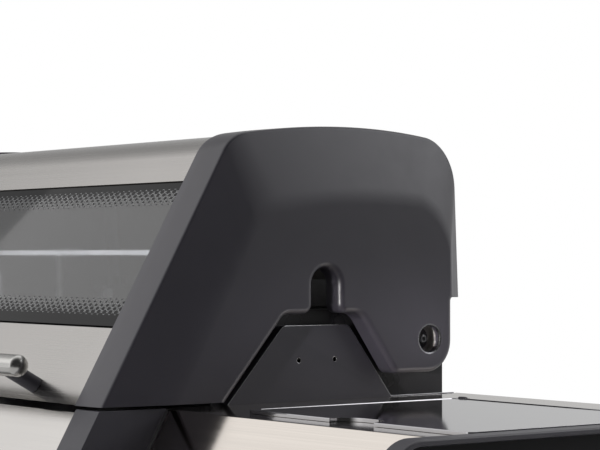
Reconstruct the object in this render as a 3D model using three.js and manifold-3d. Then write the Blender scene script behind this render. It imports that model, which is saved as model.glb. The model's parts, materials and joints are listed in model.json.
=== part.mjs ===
// A freestanding gas barbecue with a hinged roasting hood, a window in the hood, two side shelves
// (the right one with a side burner under a flush lid) and a cabinet on four castors.
// Millimetres, +X to the right, +Y to the back, +Z up. The origin is on the floor, below the middle.
import * as THREE from 'three';
import { mergeVertices, toCreasedNormals } from 'three/addons/utils/BufferGeometryUtils.js';
import Module from 'manifold-3d';

const wasm = await Module();
wasm.setup();

// Whole barbecue. Y is 0 at the foot of the hood's front until the whole is centred at the end.
const worktopHeight = 901;
const cabinetHalfWidth = 405;
const hoodOverhang = 25;
const hoodDepth = 540;
const hoodRise = 326.5;
const hoodFootRise = 5.5;
const hoodGap = 4;
const shelfReach = 468;
const shelfEndWidth = 24;
const castorHeight = 96;

// Stock, clearances and cutter overruns
const sheet = 1.5;
const plate = 2;
const castingWall = 4;
const fit = 0.3;
const overrun = 6;
const weld = 0.0005;

// Hood ends
const bandWidth = 61;
const bevelDepth = 12;
const lipRadius = 8;
const lipFlangeDepth = 28;
const slotWidth = 40.5;
const slotMouthRadius = 12;
const slotShoulderFront = 41.2;
const slotShoulderRear = 33.2;
const lobeRadius = 40;
const lobeToeRadius = 14;
const cutCornerRadius = 14;
const cutRearRadius = 22;
const stepRadius = 5;
const tuck = 8;
const bandCurveShares = [0.5, 0.4];

// Hood hinge
const pivotRecessRadius = 16.5;
const pivotRecessDepth = 21;
const pivotBossWall = 4.5;
const pivotEdge = 1.5;
const pinRadius = 3.5;
const pinHeadRadius = 6;
const pinHeadHeight = 9;
const pinSocketRadius = 2.5;
const pinSocketDepth = 4;
const pinBushRadius = 12;

// Hood front, in lengths up its slope
const lowerPanelHeight = 102.4;
const panelReturn = 14;
const windowHeight = 195;
const windowThickness = 5;
const windowRecess = 2;
const windowGasket = 3;
const stepLevelShare = 0.36;

// Hood handle and thermometer
const handleRadius = 13;
const handleSideInset = 130;
const handleStandoff = 52;
const handleRise = 22;
const handleDome = 7;
const postInset = 45;
const postRadius = 10;
const gaugeRise = 64;
const gaugeRadius = 27;
const gaugeDepth = 12;
const gaugeRim = 3;
const gaugeRecess = 4;
const probeRadius = 3;
const probeLength = 55;
const needlePivotRadius = 1.5;
const needleHubRadius = 4;
const needleThickness = 1.2;
const needleTail = 7;
const needleReach = 20;
const needleHalfWidth = 1.3;
const needleRest = Math.PI * 2 / 3;

// Control panel
const fasciaHeight = 150;
const fasciaDepth = 90;
const fasciaEndInset = 10.5;
const fasciaSetBack = 3.5;
const fasciaFootRadius = 14;
const fasciaTopRadius = 2;
const controlPanelReturn = 80;

// Knobs, spindles and gas rail
const burnerCount = 4;
const burnerSpacing = 180;
const knobDrop = 88;
const knobRadius = 23;
const knobSkirtHeight = 5;
const knobHeight = 20;
const knobTaper = 2;
const knobEdge = 2;
const knobGap = 4.5;
const knobTravel = 3;
const gripHalfWidth = 6.5;
const gripHeight = 10;
const stemRadius = 4;
const stemFlat = 2.7;
const stemHoleRadius = 6;
const stemSeat = 12;
const valveDistance = 60;
const valveRadius = 15;
const valveHalfLength = 16;
const railRadius = 9;
const railBore = 6;
const railOverhang = 60;
const railBoreDepth = 30;
const railBracketWidth = 10;
const railBracketThickness = 6;
const jetRadius = 4;
const jetReach = 8;

// Firebox
const fireboxFront = 60;
const fireboxBack = 500;
const fireboxSideInset = 42;
const fireboxFrontDrop = 8;
const fireboxWallDrop = 150;
const fireboxFloorDrop = 190;
const drainHalfWidth = 60;
const drainHalfLength = 20;
const ledgeDepth = 14;
const ledgeThickness = 3;
const grillLevelDrop = 26;
const vaporiserLevelDrop = 78;
const hangDrop = 30;
const earFlange = 12;
const earMargin = 20;
const rearPanelInset = 3;
const rearPanelDrop = 185;
const rearPanelFold = 16;
const rearGuardHeight = 36;

// Burners and cooking surfaces
const burnerRadius = 17;
const burnerBore = 10;
const burnerMouthRadius = 13;
const burnerMouthLength = 34;
const burnerTaper = 30;
const burnerMouthLead = 24;
const burnerTailGap = 0.3;
const burnerTailLength = 12;
const burnerTailRadius = 9;
const boreDepth = 60;
const grillThickness = 11;
const grillGap = 2;
const grillMargin = 16;
const grillBarGap = 9;
const grillBars = 11;
const grillCrossBar = 12;
const hotplateThickness = 7;
const hotplateRimHeight = 6;
const hotplateRim = 6;
const vaporiserRidges = 12;
const vaporiserRidgeHeight = 16;
const vaporiserThickness = 2;
const rackRise = 178.3;
const rackFront = 275;
const rackBack = 425;
const rackRodRadius = 3.5;
const rackWireRadius = 2;
const rackWires = 28;
const rackBarHeight = 6.5;
const rackBarThickness = 3;
const rackSideInset = 52;
const rackFootRadius = 4;

// Trim plates in the hood's cut-outs
const trimInset = 28.3;
const trimDepth = 11.4;
const trimThickness = 1.7;
const trimHoleRadius = 3;
const trimSkirt = 12;
const trimFootRise = 1.2;
const trimCornerRadius = 12;

// Side shelves
const shelfFront = 97;
const shelfBack = 553;
const apronHeight = 132;
const shelfBackSkirt = 70;
const shelfTieDrop = 95;
const shelfTieFront = 110;
const shelfTieBack = 480;
const shelfEdgeRadius = 2;
const endFront = 8;
const endProud = 3.5;
const endHeight = 148;
const endRearGap = 3;
const endFrontRadius = 42;
const endRearRadius = 20;
const endFootRadius = 24;
const endRim = 7;
const endRecess = 14;
const endEdge = 2;

// Side burner
const lidLeft = 97;
const lidRight = 3;
const lidFront = 131;
const lidBack = 439;
const lidHeight = 4.5;
const lidCornerRadius = 6;
const notchWidth = 74;
const notchDepth = 27;
const notchRadius = 25;
const lidLugWidth = 12;
const lidLugInset = 9;
const lidPinRadius = 1.5;
const lidBarrelRadius = 3.2;
const lidCheek = 2;
const wellMargin = 44;
const wellDepth = 62;
const wellFlange = 14;
const wellCornerRadius = 24;
const wellTaper = 18;
const sideRingRadius = 46;
const sideRingHeight = 16;
const sideRingRise = 10;
const sidePipeRadius = 9;
const sideHubRadius = 20;
const trivetBars = 4;
const trivetRingRadius = 66;
const trivetRingWidth = 8;
const trivetBarWidth = 7;
const trivetBarHeight = 10;
const trivetDrop = 4;
const sideKnobDrop = 76;
const sideValveDistance = 40;

// Cabinet
const doorSetIn = 38.3605;
const doorThickness = 18;
const railTopDrop = 240;
const runnerSpread = 158;
const runnerWidth = 16;
const runnerThickness = 2;
const frontRailHeight = 34;
const floorThickness = 3;
const floorRim = 20;
const doorGap = 2;
const doorFit = 0.6;
const doorPinRadius = 3;
const doorPinSetIn = 6;
const doorPinReach = 8;
const doorPadLength = 16;
const doorPadDepth = 10;
const doorHandleRadius = 7;
const doorHandleLength = 260;
const doorHandleStandoff = 34;
const doorHandleInset = 46;
const doorHandleDrop = 190;
const doorHandlePostRadius = 5;

// Grease tray
const trayFront = 110;
const trayBack = 460;
const trayDepth = 24;
const trayClearance = 8;
const trayFlange = 12;
const trayGrip = 16;

// Castors
const wheelRadius = 37.5;
const wheelWidth = 24;
const hubRadius = 14;
const hubWidth = 28;
const tyreEdge = 5;
const axleRadius = 4;
const axleHead = 3;
const forkWall = 3;
const forkTopThickness = 4;
const forkTopRadius = 24;
const forkTrail = 24;
const kingpinRadius = 6;
const kingpinWall = 4;
const kingpinHeight = 24;
const castorSideInset = 62;
const castorFront = 42;
const castorBack = 430;

// Outlines of a hood end, each point as [share of the hood's depth, share of its rise]
const rearRimShares = {
  topRear: [0.9, 0.9767],
  rearPulls: [[0.936, 0.9682], [0.9847, 0.9059]],
  rearTop: [0.988, 0.791],
  rearFoot: [1.0105, 0],
};
const innerRimShares = {
  foot: [0.0056, 0],
  slopeTop: [0.3137, 0.8888],
  frontPull: [0.3374, 0.9573],
  topFront: [0.3913, 0.97],
  topPulls: [[0.5586, 1.0093], [0.7308, 1.0163]],
  ...rearRimShares,
};
const outerRimShares = {
  foot: [0.0159, 0],
  slopeTop: [0.3258, 0.905],
  frontPull: [0.3439, 0.9576],
  topFront: [0.3852, 0.9676],
  topPulls: [[0.554, 1.008], [0.7308, 1.0163]],
  ...rearRimShares,
};
const creaseShares = {
  foot: [0.175, 0],
  slopeTop: [0.389, 0.629],
  frontPull: [0.4074, 0.6865],
  topFront: [0.4667, 0.7068],
  topPulls: [[0.5926, 0.7485], [0.7407, 0.749]],
  topRear: [0.8704, 0.7295],
  rearPulls: [[0.911, 0.7085], [0.952, 0.624]],
  rearTop: [0.9567, 0.5485],
  rearFoot: [0.9641, 0],
};
const handleDomeShares = [0.4, 0.75, 0.95];
const bevelShares = [[0, -1], [0.86, -0.14], [1, -0.04], [1.12, 0]];

// The cut-out under a hood end, its slot for a rotisserie spit, and the hinge's place
const cutShares = {
  leftFoot: [0.3172, 0],
  top: 0.3072,
  slotCentre: 0.5894,
  slotTop: 0.4772,
  rightFoot: [0.7885, 0.0735],
  lobeRear: 0.9626,
};
const pivotShares = [0.8917, 0.2025];

// The trim plate, in the same shares
const trimShares = {
  leftFoot: [0.3612, -0.006],
  leftTop: [0.506, 0.263],
  rightTop: [0.692, 0.263],
  rightFoot: [0.818, 0],
  rearFoot: 1.012,
  holes: [[0.5506, 0.1335], [0.6524, 0.1335]],
};

const roundSteps = 16;
const smallSteps = 8;
const wireSides = 5;
const hexagon = 6;
const filletSteps = 3;
const curveSteps = 6;
const crease = Math.PI / 5;

// Levels and places worked out from the sizes above
const hoodHalfWidth = cabinetHalfWidth + hoodOverhang;
const handleHalfLength = hoodHalfWidth - handleSideInset;
const postSpread = handleHalfLength - postInset;
const hoodFoot = worktopHeight + hoodFootRise;
const fasciaTop = hoodFoot - hoodGap;
const fasciaBottom = fasciaTop - fasciaHeight;
const hoodStep = hoodFoot + stepLevelShare * hoodRise;
const skinInset = castingWall + fit;
const bandInside = hoodHalfWidth - bandWidth;
const skinHalfWidth = bandInside + tuck;
const fireboxHalf = hoodHalfWidth - fireboxSideInset + plate;
const fireboxInside = fireboxHalf - plate;
const shelfBottomFace = worktopHeight - sheet;
const shelfInner = hoodHalfWidth - trimInset + fit;
const shelfEnd = hoodHalfWidth + shelfReach;
const fasciaEnd = hoodHalfWidth - fasciaEndInset;
const at = ([y, z]) => new THREE.Vector2(y * hoodDepth, hoodFoot + z * hoodRise);
const pivot = at(pivotShares);
const slopeFoot = at(innerRimShares.foot);
const slopeTop = at(innerRimShares.slopeTop);
const slope = slopeTop.clone().sub(slopeFoot);
const lean = Math.atan2(slope.x, slope.y);
const fasciaEdge = new THREE.Vector2(slopeFoot.x - hoodGap * Math.tan(lean) + fasciaSetBack, fasciaTop);
const slotY = cutShares.slotCentre * hoodDepth;
const [slotLeft, slotRight] = [slotY - slotWidth / 2, slotY + slotWidth / 2];
const cutLevel = hoodFoot + cutShares.top * hoodRise;
const cutFront = slotLeft - slotShoulderFront;

// Basic forms

// Turns the faces of a closed geometry outwards.
function outward(geometry) {
  const bare = geometry.index ? geometry.toNonIndexed() : geometry;
  const place = bare.attributes.position;
  const [a, b, c] = [0, 1, 2].map(() => new THREE.Vector3());
  let volume = 0;
  for (let i = 0; i < place.count; i += 3) {
    a.fromBufferAttribute(place, i);
    b.fromBufferAttribute(place, i + 1);
    c.fromBufferAttribute(place, i + 2);
    volume += a.dot(b.cross(c));
  }
  if (volume >= 0) return bare;
  const turned = place.array.slice();
  for (let i = 0; i < turned.length; i += 9) {
    for (let k = 0; k < 3; k += 1) {
      turned[i + 3 + k] = place.array[i + 6 + k];
      turned[i + 6 + k] = place.array[i + 3 + k];
    }
  }
  return new THREE.BufferGeometry().setAttribute('position', new THREE.BufferAttribute(turned, 3));
}

function solid(geometry) {
  const faces = outward(geometry);
  const bare = new THREE.BufferGeometry().setAttribute('position', faces.attributes.position);
  const merged = mergeVertices(bare, weld);
  return new wasm.Manifold(new wasm.Mesh({
    numProp: 3,
    vertProperties: Float32Array.from(merged.attributes.position.array),
    triVerts: Uint32Array.from(merged.index.array),
  }));
}

function geometryOf(body) {
  const mesh = body.getMesh();
  const geometry = new THREE.BufferGeometry();
  geometry.setAttribute('position', new THREE.BufferAttribute(mesh.vertProperties, 3));
  geometry.setIndex(new THREE.BufferAttribute(mesh.triVerts, 1));
  return geometry;
}

const join = (...parts) => geometryOf(parts.map(solid).reduce((sum, part) => sum.add(part)));
const cut = (base, ...tools) => geometryOf(tools.map(solid).reduce((rest, tool) => rest.subtract(tool), solid(base)));
const common = (a, b) => geometryOf(solid(a).intersect(solid(b)));

// The same form on the other side of the centre plane
function mirrored(geometry) {
  return outward(geometry.clone().scale(-1, 1, 1));
}

function block(x0, x1, y0, y1, z0, z1) {
  const box = new THREE.BoxGeometry(x1 - x0, y1 - y0, z1 - z0);
  return box.translate((x0 + x1) / 2, (y0 + y1) / 2, (z0 + z1) / 2);
}

const alongX = new THREE.Matrix4().makeBasis(
  new THREE.Vector3(0, 1, 0), new THREE.Vector3(0, 0, 1), new THREE.Vector3(1, 0, 0));

// A closed outline in the Y-Z plane, drawn out from x0 to x1
function extrudeX(points, x0, x1) {
  const shape = new THREE.Shape(points);
  const form = new THREE.ExtrudeGeometry(shape, { depth: x1 - x0, bevelEnabled: false });
  return form.applyMatrix4(alongX).translate(x0, 0, 0);
}

// A closed outline in the X-Y plane, drawn out from z0 to z1
function extrudeZ(points, z0, z1) {
  const shape = new THREE.Shape(points);
  return new THREE.ExtrudeGeometry(shape, { depth: z1 - z0, bevelEnabled: false }).translate(0, 0, z0);
}

// Revolved profiles: each point is [radius, height along the axis]
function turned(profile, steps = roundSteps) {
  return new THREE.LatheGeometry(profile.map(([r, h]) => new THREE.Vector2(r, h)), steps);
}
const turnedX = (profile, steps) => turned(profile, steps).rotateZ(-Math.PI / 2);
const turnedY = (profile, steps) => turned(profile, steps);
const turnedZ = (profile, steps) => turned(profile, steps).rotateX(Math.PI / 2);
const bar = (radius, from, to) => [[0, from], [radius, from], [radius, to], [0, to]];
const rodX = (radius, x0, x1, y, z, steps) => turnedX(bar(radius, x0, x1), steps).translate(0, y, z);
const rodY = (radius, y0, y1, x, z, steps) => turnedY(bar(radius, y0, y1), steps).translate(x, 0, z);
const rodZ = (radius, z0, z1, x, y, steps) => turnedZ(bar(radius, z0, z1), steps).translate(x, y, 0);

// The radius to draw a bore with, so that its flats clear a shaft that turns in it
const bore = (shaftRadius, steps = smallSteps) => (shaftRadius + fit) / Math.cos(Math.PI / steps);

// Rounds the corners of a polyline. Each point is [x, y, radius]; a closed one is rounded all round.
function filleted(points, closed = true) {
  const line = [];
  const count = points.length;
  points.forEach(([x, y, radius = 0], i) => {
    const corner = new THREE.Vector2(x, y);
    const end = !closed && (i === 0 || i === count - 1);
    if (!radius || end) {
      line.push(corner);
      return;
    }
    const [px, py] = points[(i + count - 1) % count];
    const [nx, ny] = points[(i + 1) % count];
    const back = new THREE.Vector2(px, py).sub(corner).normalize();
    const on = new THREE.Vector2(nx, ny).sub(corner).normalize();
    const half = Math.acos(THREE.MathUtils.clamp(back.dot(on), -1, 1)) / 2;
    const middle = back.clone().add(on).normalize();
    const centre = corner.clone().addScaledVector(middle, radius / Math.sin(half));
    const from = corner.clone().addScaledVector(back, radius / Math.tan(half)).sub(centre);
    const to = corner.clone().addScaledVector(on, radius / Math.tan(half)).sub(centre);
    const turn = Math.atan2(from.cross(to), from.dot(to));
    for (let k = 0; k <= filletSteps; k += 1) {
      line.push(from.clone().rotateAround(new THREE.Vector2(), turn * k / filletSteps).add(centre));
    }
  });
  return line.filter((p, i) => i === 0 || p.distanceTo(line[i - 1]) > weld);
}

// Moves an open polyline sideways, to the right of its direction.
function inset(line, distance) {
  return line.map((p, i) => {
    const back = line[Math.max(i - 1, 0)];
    const on = line[Math.min(i + 1, line.length - 1)];
    const before = p.clone().sub(i ? back : p.clone().sub(on).add(p)).normalize();
    const after = i < line.length - 1 ? on.clone().sub(p).normalize() : before.clone();
    const first = i ? before : after;
    const side = new THREE.Vector2(first.y, -first.x).add(new THREE.Vector2(after.y, -after.x)).normalize();
    const reach = distance / side.dot(new THREE.Vector2(after.y, -after.x));
    return p.clone().addScaledVector(side, reach);
  });
}

// The closed section of a sheet that follows an open line, its outer face set in by a distance
function sheetSection(line, setIn, thickness) {
  return [...inset(line, setIn), ...inset(line, setIn + thickness).reverse()];
}

// A closed form through outlines of equal point counts, each { x, points } in the Y-Z plane
function loftX(outlines) {
  const backwards = THREE.ShapeUtils.isClockWise(outlines[0].points);
  const rings = outlines.map(({ x, points }) => ({ x, points: backwards ? points.slice().reverse() : points }));
  const count = rings[0].points.length;
  const position = rings.flatMap(({ x, points }) => points.flatMap((p) => [x, p.x, p.y]));
  const index = [];
  rings.slice(1).forEach((_, r) => {
    for (let i = 0; i < count; i += 1) {
      const [a, b] = [r * count + i, r * count + (i + 1) % count];
      index.push(a, b, b + count, a, b + count, a + count);
    }
  });
  const last = (rings.length - 1) * count;
  THREE.ShapeUtils.triangulateShape(rings[0].points, []).forEach(([a, b, c]) => index.push(a, c, b));
  THREE.ShapeUtils.triangulateShape(rings.at(-1).points, [])
    .forEach(([a, b, c]) => index.push(last + a, last + b, last + c));
  const geometry = new THREE.BufferGeometry();
  geometry.setAttribute('position', new THREE.Float32BufferAttribute(position, 3));
  geometry.setIndex(index);
  return geometry;
}

// Finishes: colour, roughness, metalness
const finishes = {
  casting: [0x36343a, 0.5, 0.3],
  steel: [0xc9c8c6, 0.3, 0.9],
  polished: [0xd2d0d0, 0.12, 0.95],
  glass: [0x3c3e40, 0.08, 0.1],
  enamel: [0x242326, 0.35, 0.2],
  castIron: [0x1f1e20, 0.7, 0.4],
  chrome: [0xd8d8da, 0.15, 1],
  brass: [0xb59a5a, 0.35, 0.9],
  plastic: [0x161618, 0.45, 0],
  rubber: [0x2a2a2c, 0.85, 0],
  dial: [0xe8e6e0, 0.6, 0],
  galvanised: [0x9fa1a4, 0.45, 0.8],
};

function piece(name, geometry, finish, group) {
  const [color, roughness, metalness] = finishes[finish];
  const material = new THREE.MeshStandardMaterial({ color, roughness, metalness });
  const mesh = new THREE.Mesh(toCreasedNormals(outward(geometry), crease), material);
  mesh.name = name;
  group.add(mesh);
  return mesh;
}

// Hood ends

function hoodOutline(shares) {
  const path = new THREE.Path();
  const to = (share) => at(share).toArray();
  path.moveTo(...to(shares.foot));
  path.lineTo(...to(shares.slopeTop));
  path.quadraticCurveTo(...to(shares.frontPull), ...to(shares.topFront));
  path.bezierCurveTo(...shares.topPulls.flatMap(to), ...to(shares.topRear));
  path.bezierCurveTo(...shares.rearPulls.flatMap(to), ...to(shares.rearTop));
  path.lineTo(...to(shares.rearFoot));
  return path.getPoints(curveSteps);
}

// The lower edge of a hood end, from its front foot over the slot to the step at the rear
function cutLine() {
  const [leftFoot, rightFoot] = [cutShares.leftFoot, cutShares.rightFoot].map(at);
  const slotTop = hoodFoot + cutShares.slotTop * hoodRise;
  const lobeRear = cutShares.lobeRear * hoodDepth;
  return filleted([
    [leftFoot.x, hoodFoot - bandWidth],
    [leftFoot.x, leftFoot.y],
    [cutFront, cutLevel, cutCornerRadius],
    [slotLeft, cutLevel, slotMouthRadius],
    [slotLeft, slotTop, slotWidth / 2],
    [slotRight, slotTop, slotWidth / 2],
    [slotRight, cutLevel, slotMouthRadius],
    [slotRight + slotShoulderRear, cutLevel, cutRearRadius],
    [rightFoot.x, rightFoot.y, lobeToeRadius],
    [lobeRear, rightFoot.y, lobeRadius],
    [lobeRear, hoodStep, stepRadius],
    [hoodDepth + bandWidth, hoodStep],
  ], false);
}

// Everything below the lower edge, moved into the hood end by a distance
function belowCut(distance, x) {
  const line = inset(cutLine(), -distance);
  return { x, points: [...line, new THREE.Vector2(line.at(-1).x, line[0].y)] };
}

function hoodEnd() {
  const [inner, outer, ridge] = [innerRimShares, outerRimShares, creaseShares].map(hoodOutline);
  const bevelTop = hoodHalfWidth - bevelDepth;
  const straight = skinHalfWidth + fit;
  const [along, taper] = bandCurveShares;
  const band = {
    x: THREE.MathUtils.lerp(straight, bevelTop, along),
    points: inner.map((p, i) => p.clone().lerp(outer[i], taper)),
  };
  const bevel = bevelShares.map(([t, depth]) => ({
    x: hoodHalfWidth + depth * bevelDepth,
    points: outer.map((p, i) => p.clone().lerp(ridge[i], t)),
  }));
  const skin = [{ x: bandInside, points: inner }, { x: straight, points: inner }, band, ...bevel];
  const hollow = [skin[0], skin[1], skin[3], skin.at(-1)].map(({ x, points }) => {
    const line = inset(points, castingWall);
    const front = line[0].clone().sub(line[1]).normalize();
    const back = line.at(-1).clone().sub(line.at(-2)).normalize();
    line[0].addScaledVector(front, overrun);
    line.at(-1).addScaledVector(back, overrun);
    return { x: x - castingWall, points: line };
  });
  hollow[0].x = bandInside - overrun;
  hollow[1].x = straight;
  const body = loftX(skin);
  const flange = common(body, cut(
    loftX([belowCut(castingWall, hoodHalfWidth - lipFlangeDepth), belowCut(castingWall, hoodHalfWidth)]),
    loftX([belowCut(0, hoodHalfWidth - lipFlangeDepth - overrun), belowCut(0, hoodHalfWidth + overrun)]),
  ));
  const quarter = [0, 1, 2].map((k) => k * Math.PI / 4);
  const lip = [
    belowCut(lipRadius, hoodHalfWidth + overrun),
    ...quarter.map((turn) => belowCut(
      lipRadius * (1 - Math.sin(turn)), hoodHalfWidth - lipRadius * (1 - Math.cos(turn)))),
  ];
  const recess = pivotRecessRadius;
  const bossDepth = pivotRecessDepth + castingWall;
  const boss = rodX(recess + pivotBossWall, hoodHalfWidth - bossDepth, hoodHalfWidth - fit, pivot.x, pivot.y);
  const well = turnedX([
    [0, -pivotRecessDepth], [recess, -pivotRecessDepth], [recess, -pivotEdge],
    [recess + pivotEdge, 0], [recess + pivotEdge, overrun], [0, overrun],
  ]).translate(hoodHalfWidth, pivot.x, pivot.y);
  const pinHole = rodX(bore(pinRadius), hoodHalfWidth - bandWidth, hoodHalfWidth, pivot.x, pivot.y, smallSteps);
  return cut(
    join(cut(body, loftX(hollow)), flange, boss),
    loftX([belowCut(0, bandInside - overrun), belowCut(0, hoodHalfWidth + overrun)]),
    loftX(lip),
    well,
    pinHole,
  );
}

// Hood sheets, glass, handle and thermometer. The front pieces are drawn upright and leaned back.

const windowTop = lowerPanelHeight + windowGasket + windowHeight;

function hoodSkin() {
  const outline = hoodOutline(innerRimShares);
  const start = slopeFoot.clone().lerp(slopeTop, (windowTop + fit) / slope.length());
  const [rearTop, rearFoot] = outline.slice(-2);
  const stepShare = (rearTop.y - hoodStep) / (rearTop.y - rearFoot.y);
  const end = rearTop.clone().lerp(rearFoot, stepShare);
  const line = [start, ...outline.slice(1, -1), end];
  const up = slope.clone().normalize();
  const inward = new THREE.Vector2(up.y, -up.x);
  const lipLine = [
    start.clone().addScaledVector(inward, skinInset),
    start.clone().addScaledVector(inward, skinInset + panelReturn),
  ];
  const lip = [...lipLine, ...lipLine.map((p) => p.clone().addScaledVector(up, sheet)).reverse()];
  return join(
    extrudeX(sheetSection(line, skinInset, sheet), -skinHalfWidth, skinHalfWidth),
    extrudeX(lip, -skinHalfWidth, skinHalfWidth),
  );
}

function lowerPanel() {
  const inward = skinInset + panelReturn;
  const line = [
    new THREE.Vector2(inward, inward * Math.tan(lean)),
    new THREE.Vector2(skinInset, skinInset * Math.tan(lean)),
    new THREE.Vector2(skinInset, lowerPanelHeight),
    new THREE.Vector2(inward, lowerPanelHeight),
  ];
  const panel = extrudeX(sheetSection(line, 0, sheet), -skinHalfWidth, skinHalfWidth);
  const probeHole = rodY(probeRadius + fit, 0, skinInset + overrun, 0, gaugeRise, smallSteps);
  return cut(panel, probeHole);
}

function hoodWindow() {
  const face = skinInset + windowRecess;
  const foot = lowerPanelHeight + windowGasket;
  return block(-skinHalfWidth, skinHalfWidth, face, face + windowThickness, foot, windowTop);
}

const handleFront = skinInset - handleStandoff;

function handleBar() {
  const straight = handleHalfLength - handleDome;
  const dome = handleDomeShares.map((share) => [
    handleRadius * Math.sqrt(1 - share * share), straight + handleDome * share]);
  const half = [[handleRadius, straight], ...dome, [0, handleHalfLength]];
  const profile = [...half.map(([r, h]) => [r, -h]).reverse(), ...half];
  return turnedX(profile).translate(0, handleFront, handleRise);
}

function handlePost(x) {
  const post = rodY(postRadius, handleFront, skinInset - fit, x, handleRise);
  return cut(post, rodX(handleRadius + fit, x - handleHalfLength, x + handleHalfLength, handleFront, handleRise));
}

function gaugeHousing() {
  const face = gaugeDepth - gaugeRecess;
  const dialRadius = gaugeRadius - gaugeRim;
  const pinTop = face + needleThickness + needlePivotRadius;
  const profile = [
    [0, -probeLength], [probeRadius, -probeLength], [probeRadius, 0], [gaugeRadius, 0],
    [gaugeRadius, gaugeDepth - gaugeRim], [gaugeRadius - gaugeRim / 2, gaugeDepth],
    [dialRadius, gaugeDepth], [dialRadius, face], [needlePivotRadius, face], [needlePivotRadius, pinTop],
    [0, pinTop],
  ];
  return turned(profile).rotateX(Math.PI).translate(0, skinInset - fit, 0);
}

function gaugeNeedle() {
  const hub = turnedZ([...bar(needleHubRadius, 0, needleThickness)], smallSteps);
  const pointer = extrudeZ([
    [-needleHalfWidth, -needleTail], [needleHalfWidth, -needleTail],
    [needleHalfWidth / 2, needleReach], [-needleHalfWidth / 2, needleReach],
  ].map(([x, y]) => new THREE.Vector2(x, y)), 0, needleThickness);
  const hole = rodZ(bore(needlePivotRadius), -overrun, overrun, 0, 0, smallSteps);
  return cut(join(hub, pointer), hole).rotateX(Math.PI / 2);
}

// Firebox

const burnerPlaces = Array.from({ length: burnerCount }, (_, i) => (i - (burnerCount - 1) / 2) * burnerSpacing);
const earTop = cutLevel + lipRadius - hoodGap;
const earFoot = at(cutShares.leftFoot).x;
const earFront = cutFront + fit;
const bodyBack = hoodDepth - rearPanelInset;
const upright = (y, z) => new THREE.Vector2(y, z);

// The place of a gas valve, behind the sloping panel: y and z
function valvePlace(drop, distance, edge = fasciaEdge) {
  return new THREE.Vector2(
    edge.x + distance * Math.cos(lean) - drop * Math.sin(lean),
    edge.y - distance * Math.sin(lean) - drop * Math.cos(lean));
}
const valve = valvePlace(knobDrop, valveDistance);
const burnerZ = valve.y;

function firebox() {
  const frontTop = worktopHeight - fireboxFrontDrop;
  const wallFoot = worktopHeight - fireboxWallDrop;
  const floorFoot = worktopHeight - fireboxFloorDrop;
  const middle = (fireboxFront + fireboxBack) / 2;
  const trough = [
    upright(fireboxFront, frontTop), upright(fireboxFront, wallFoot),
    upright(middle - drainHalfLength, floorFoot), upright(middle + drainHalfLength, floorFoot),
    upright(fireboxBack, wallFoot), upright(fireboxBack, frontTop),
  ];
  const basin = [...trough, ...inset(trough, -plate).reverse()];
  const side = [
    upright(fireboxFront, wallFoot), upright(fireboxFront, frontTop), upright(earFoot, frontTop),
    upright(earFront, earTop), upright(bodyBack, earTop), upright(bodyBack, wallFoot),
    upright(middle + drainHalfLength, floorFoot), upright(middle - drainHalfLength, floorFoot),
  ].reverse();
  const inside = fireboxInside + fit;
  const ledge = (drop, y) => {
    const top = worktopHeight - drop;
    return block(-inside, inside, y - ledgeDepth - plate / 2, y + ledgeDepth + plate / 2, top - ledgeThickness, top);
  };
  const walls = [-1, 1].map((hand) => {
    const [a, b] = [hand * fireboxInside, hand * fireboxHalf];
    return extrudeX(side, Math.min(a, b), Math.max(a, b));
  });
  const flanges = [-1, 1].flatMap((hand) => {
    const [top, hang] = [earTop, worktopHeight - hangDrop];
    const out = cabinetHalfWidth - plate - fit;
    const span = (a, b, y0, y1, z0, z1) => block(Math.min(a, b), Math.max(a, b), y0, y1, z0, z1);
    return [
      span(hand * (fireboxInside - earFlange), hand * fireboxHalf, earFront, bodyBack - plate - sheet, top - plate, top),
      span(hand * fireboxInside, hand * out, shelfTieFront, fireboxBack, hang - plate, hang),
    ];
  });
  const bushes = [-1, 1].map((hand) => {
    const bossFace = hoodHalfWidth - pivotRecessDepth - castingWall - fit;
    const [a, b] = [hand * (fireboxInside + fit), hand * bossFace];
    return rodX(pinBushRadius, Math.min(a, b), Math.max(a, b), pivot.x, pivot.y, smallSteps);
  });
  const levels = [grillLevelDrop, vaporiserLevelDrop];
  const ledges = levels.flatMap((drop) => [
    cut(ledge(drop, fireboxFront + plate / 2), block(-inside - overrun, inside + overrun,
      fireboxFront - ledgeDepth - plate, fireboxFront, worktopHeight - fireboxWallDrop, worktopHeight)),
    cut(ledge(drop, fireboxBack - plate / 2), block(-inside - overrun, inside + overrun,
      fireboxBack, fireboxBack + ledgeDepth + plate, worktopHeight - fireboxWallDrop, worktopHeight)),
  ]);
  const mouths = burnerPlaces.map((x) => rodY(
    burnerMouthRadius + fit, fireboxFront - overrun, fireboxFront + plate + overrun, x, burnerZ, smallSteps));
  const tails = burnerPlaces.map((x) => rodY(
    burnerTailRadius + fit, fireboxBack - plate - overrun, fireboxBack + overrun, x, burnerZ, smallSteps));
  const drain = block(-drainHalfWidth, drainHalfWidth, middle - drainHalfLength + plate,
    middle + drainHalfLength - plate, floorFoot - overrun, floorFoot + overrun);
  const pinHoles = rodX(pinRadius + fit, -hoodHalfWidth, hoodHalfWidth, pivot.x, pivot.y, smallSteps);
  return cut(
    join(extrudeX(basin, -inside, inside), ...walls, ...flanges, ...bushes, ...ledges),
    ...mouths, ...tails, drain, pinHoles,
  );
}

function rearPanel() {
  const half = fireboxInside - fit;
  const back = bodyBack - fit;
  const top = earTop - plate - fit;
  const foot = worktopHeight - rearPanelDrop;
  const line = [
    upright(back - rearPanelFold, top), upright(back, top), upright(back, foot),
    upright(back - rearPanelFold, foot),
  ];
  const guardHalf = half - earFlange;
  const guardBack = back - rearPanelFold + sheet;
  const guard = block(-guardHalf, guardHalf, guardBack - sheet, guardBack, top - sheet, top + rearGuardHeight);
  return join(extrudeX(sheetSection(line, 0, sheet), -half, half), guard);
}

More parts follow.
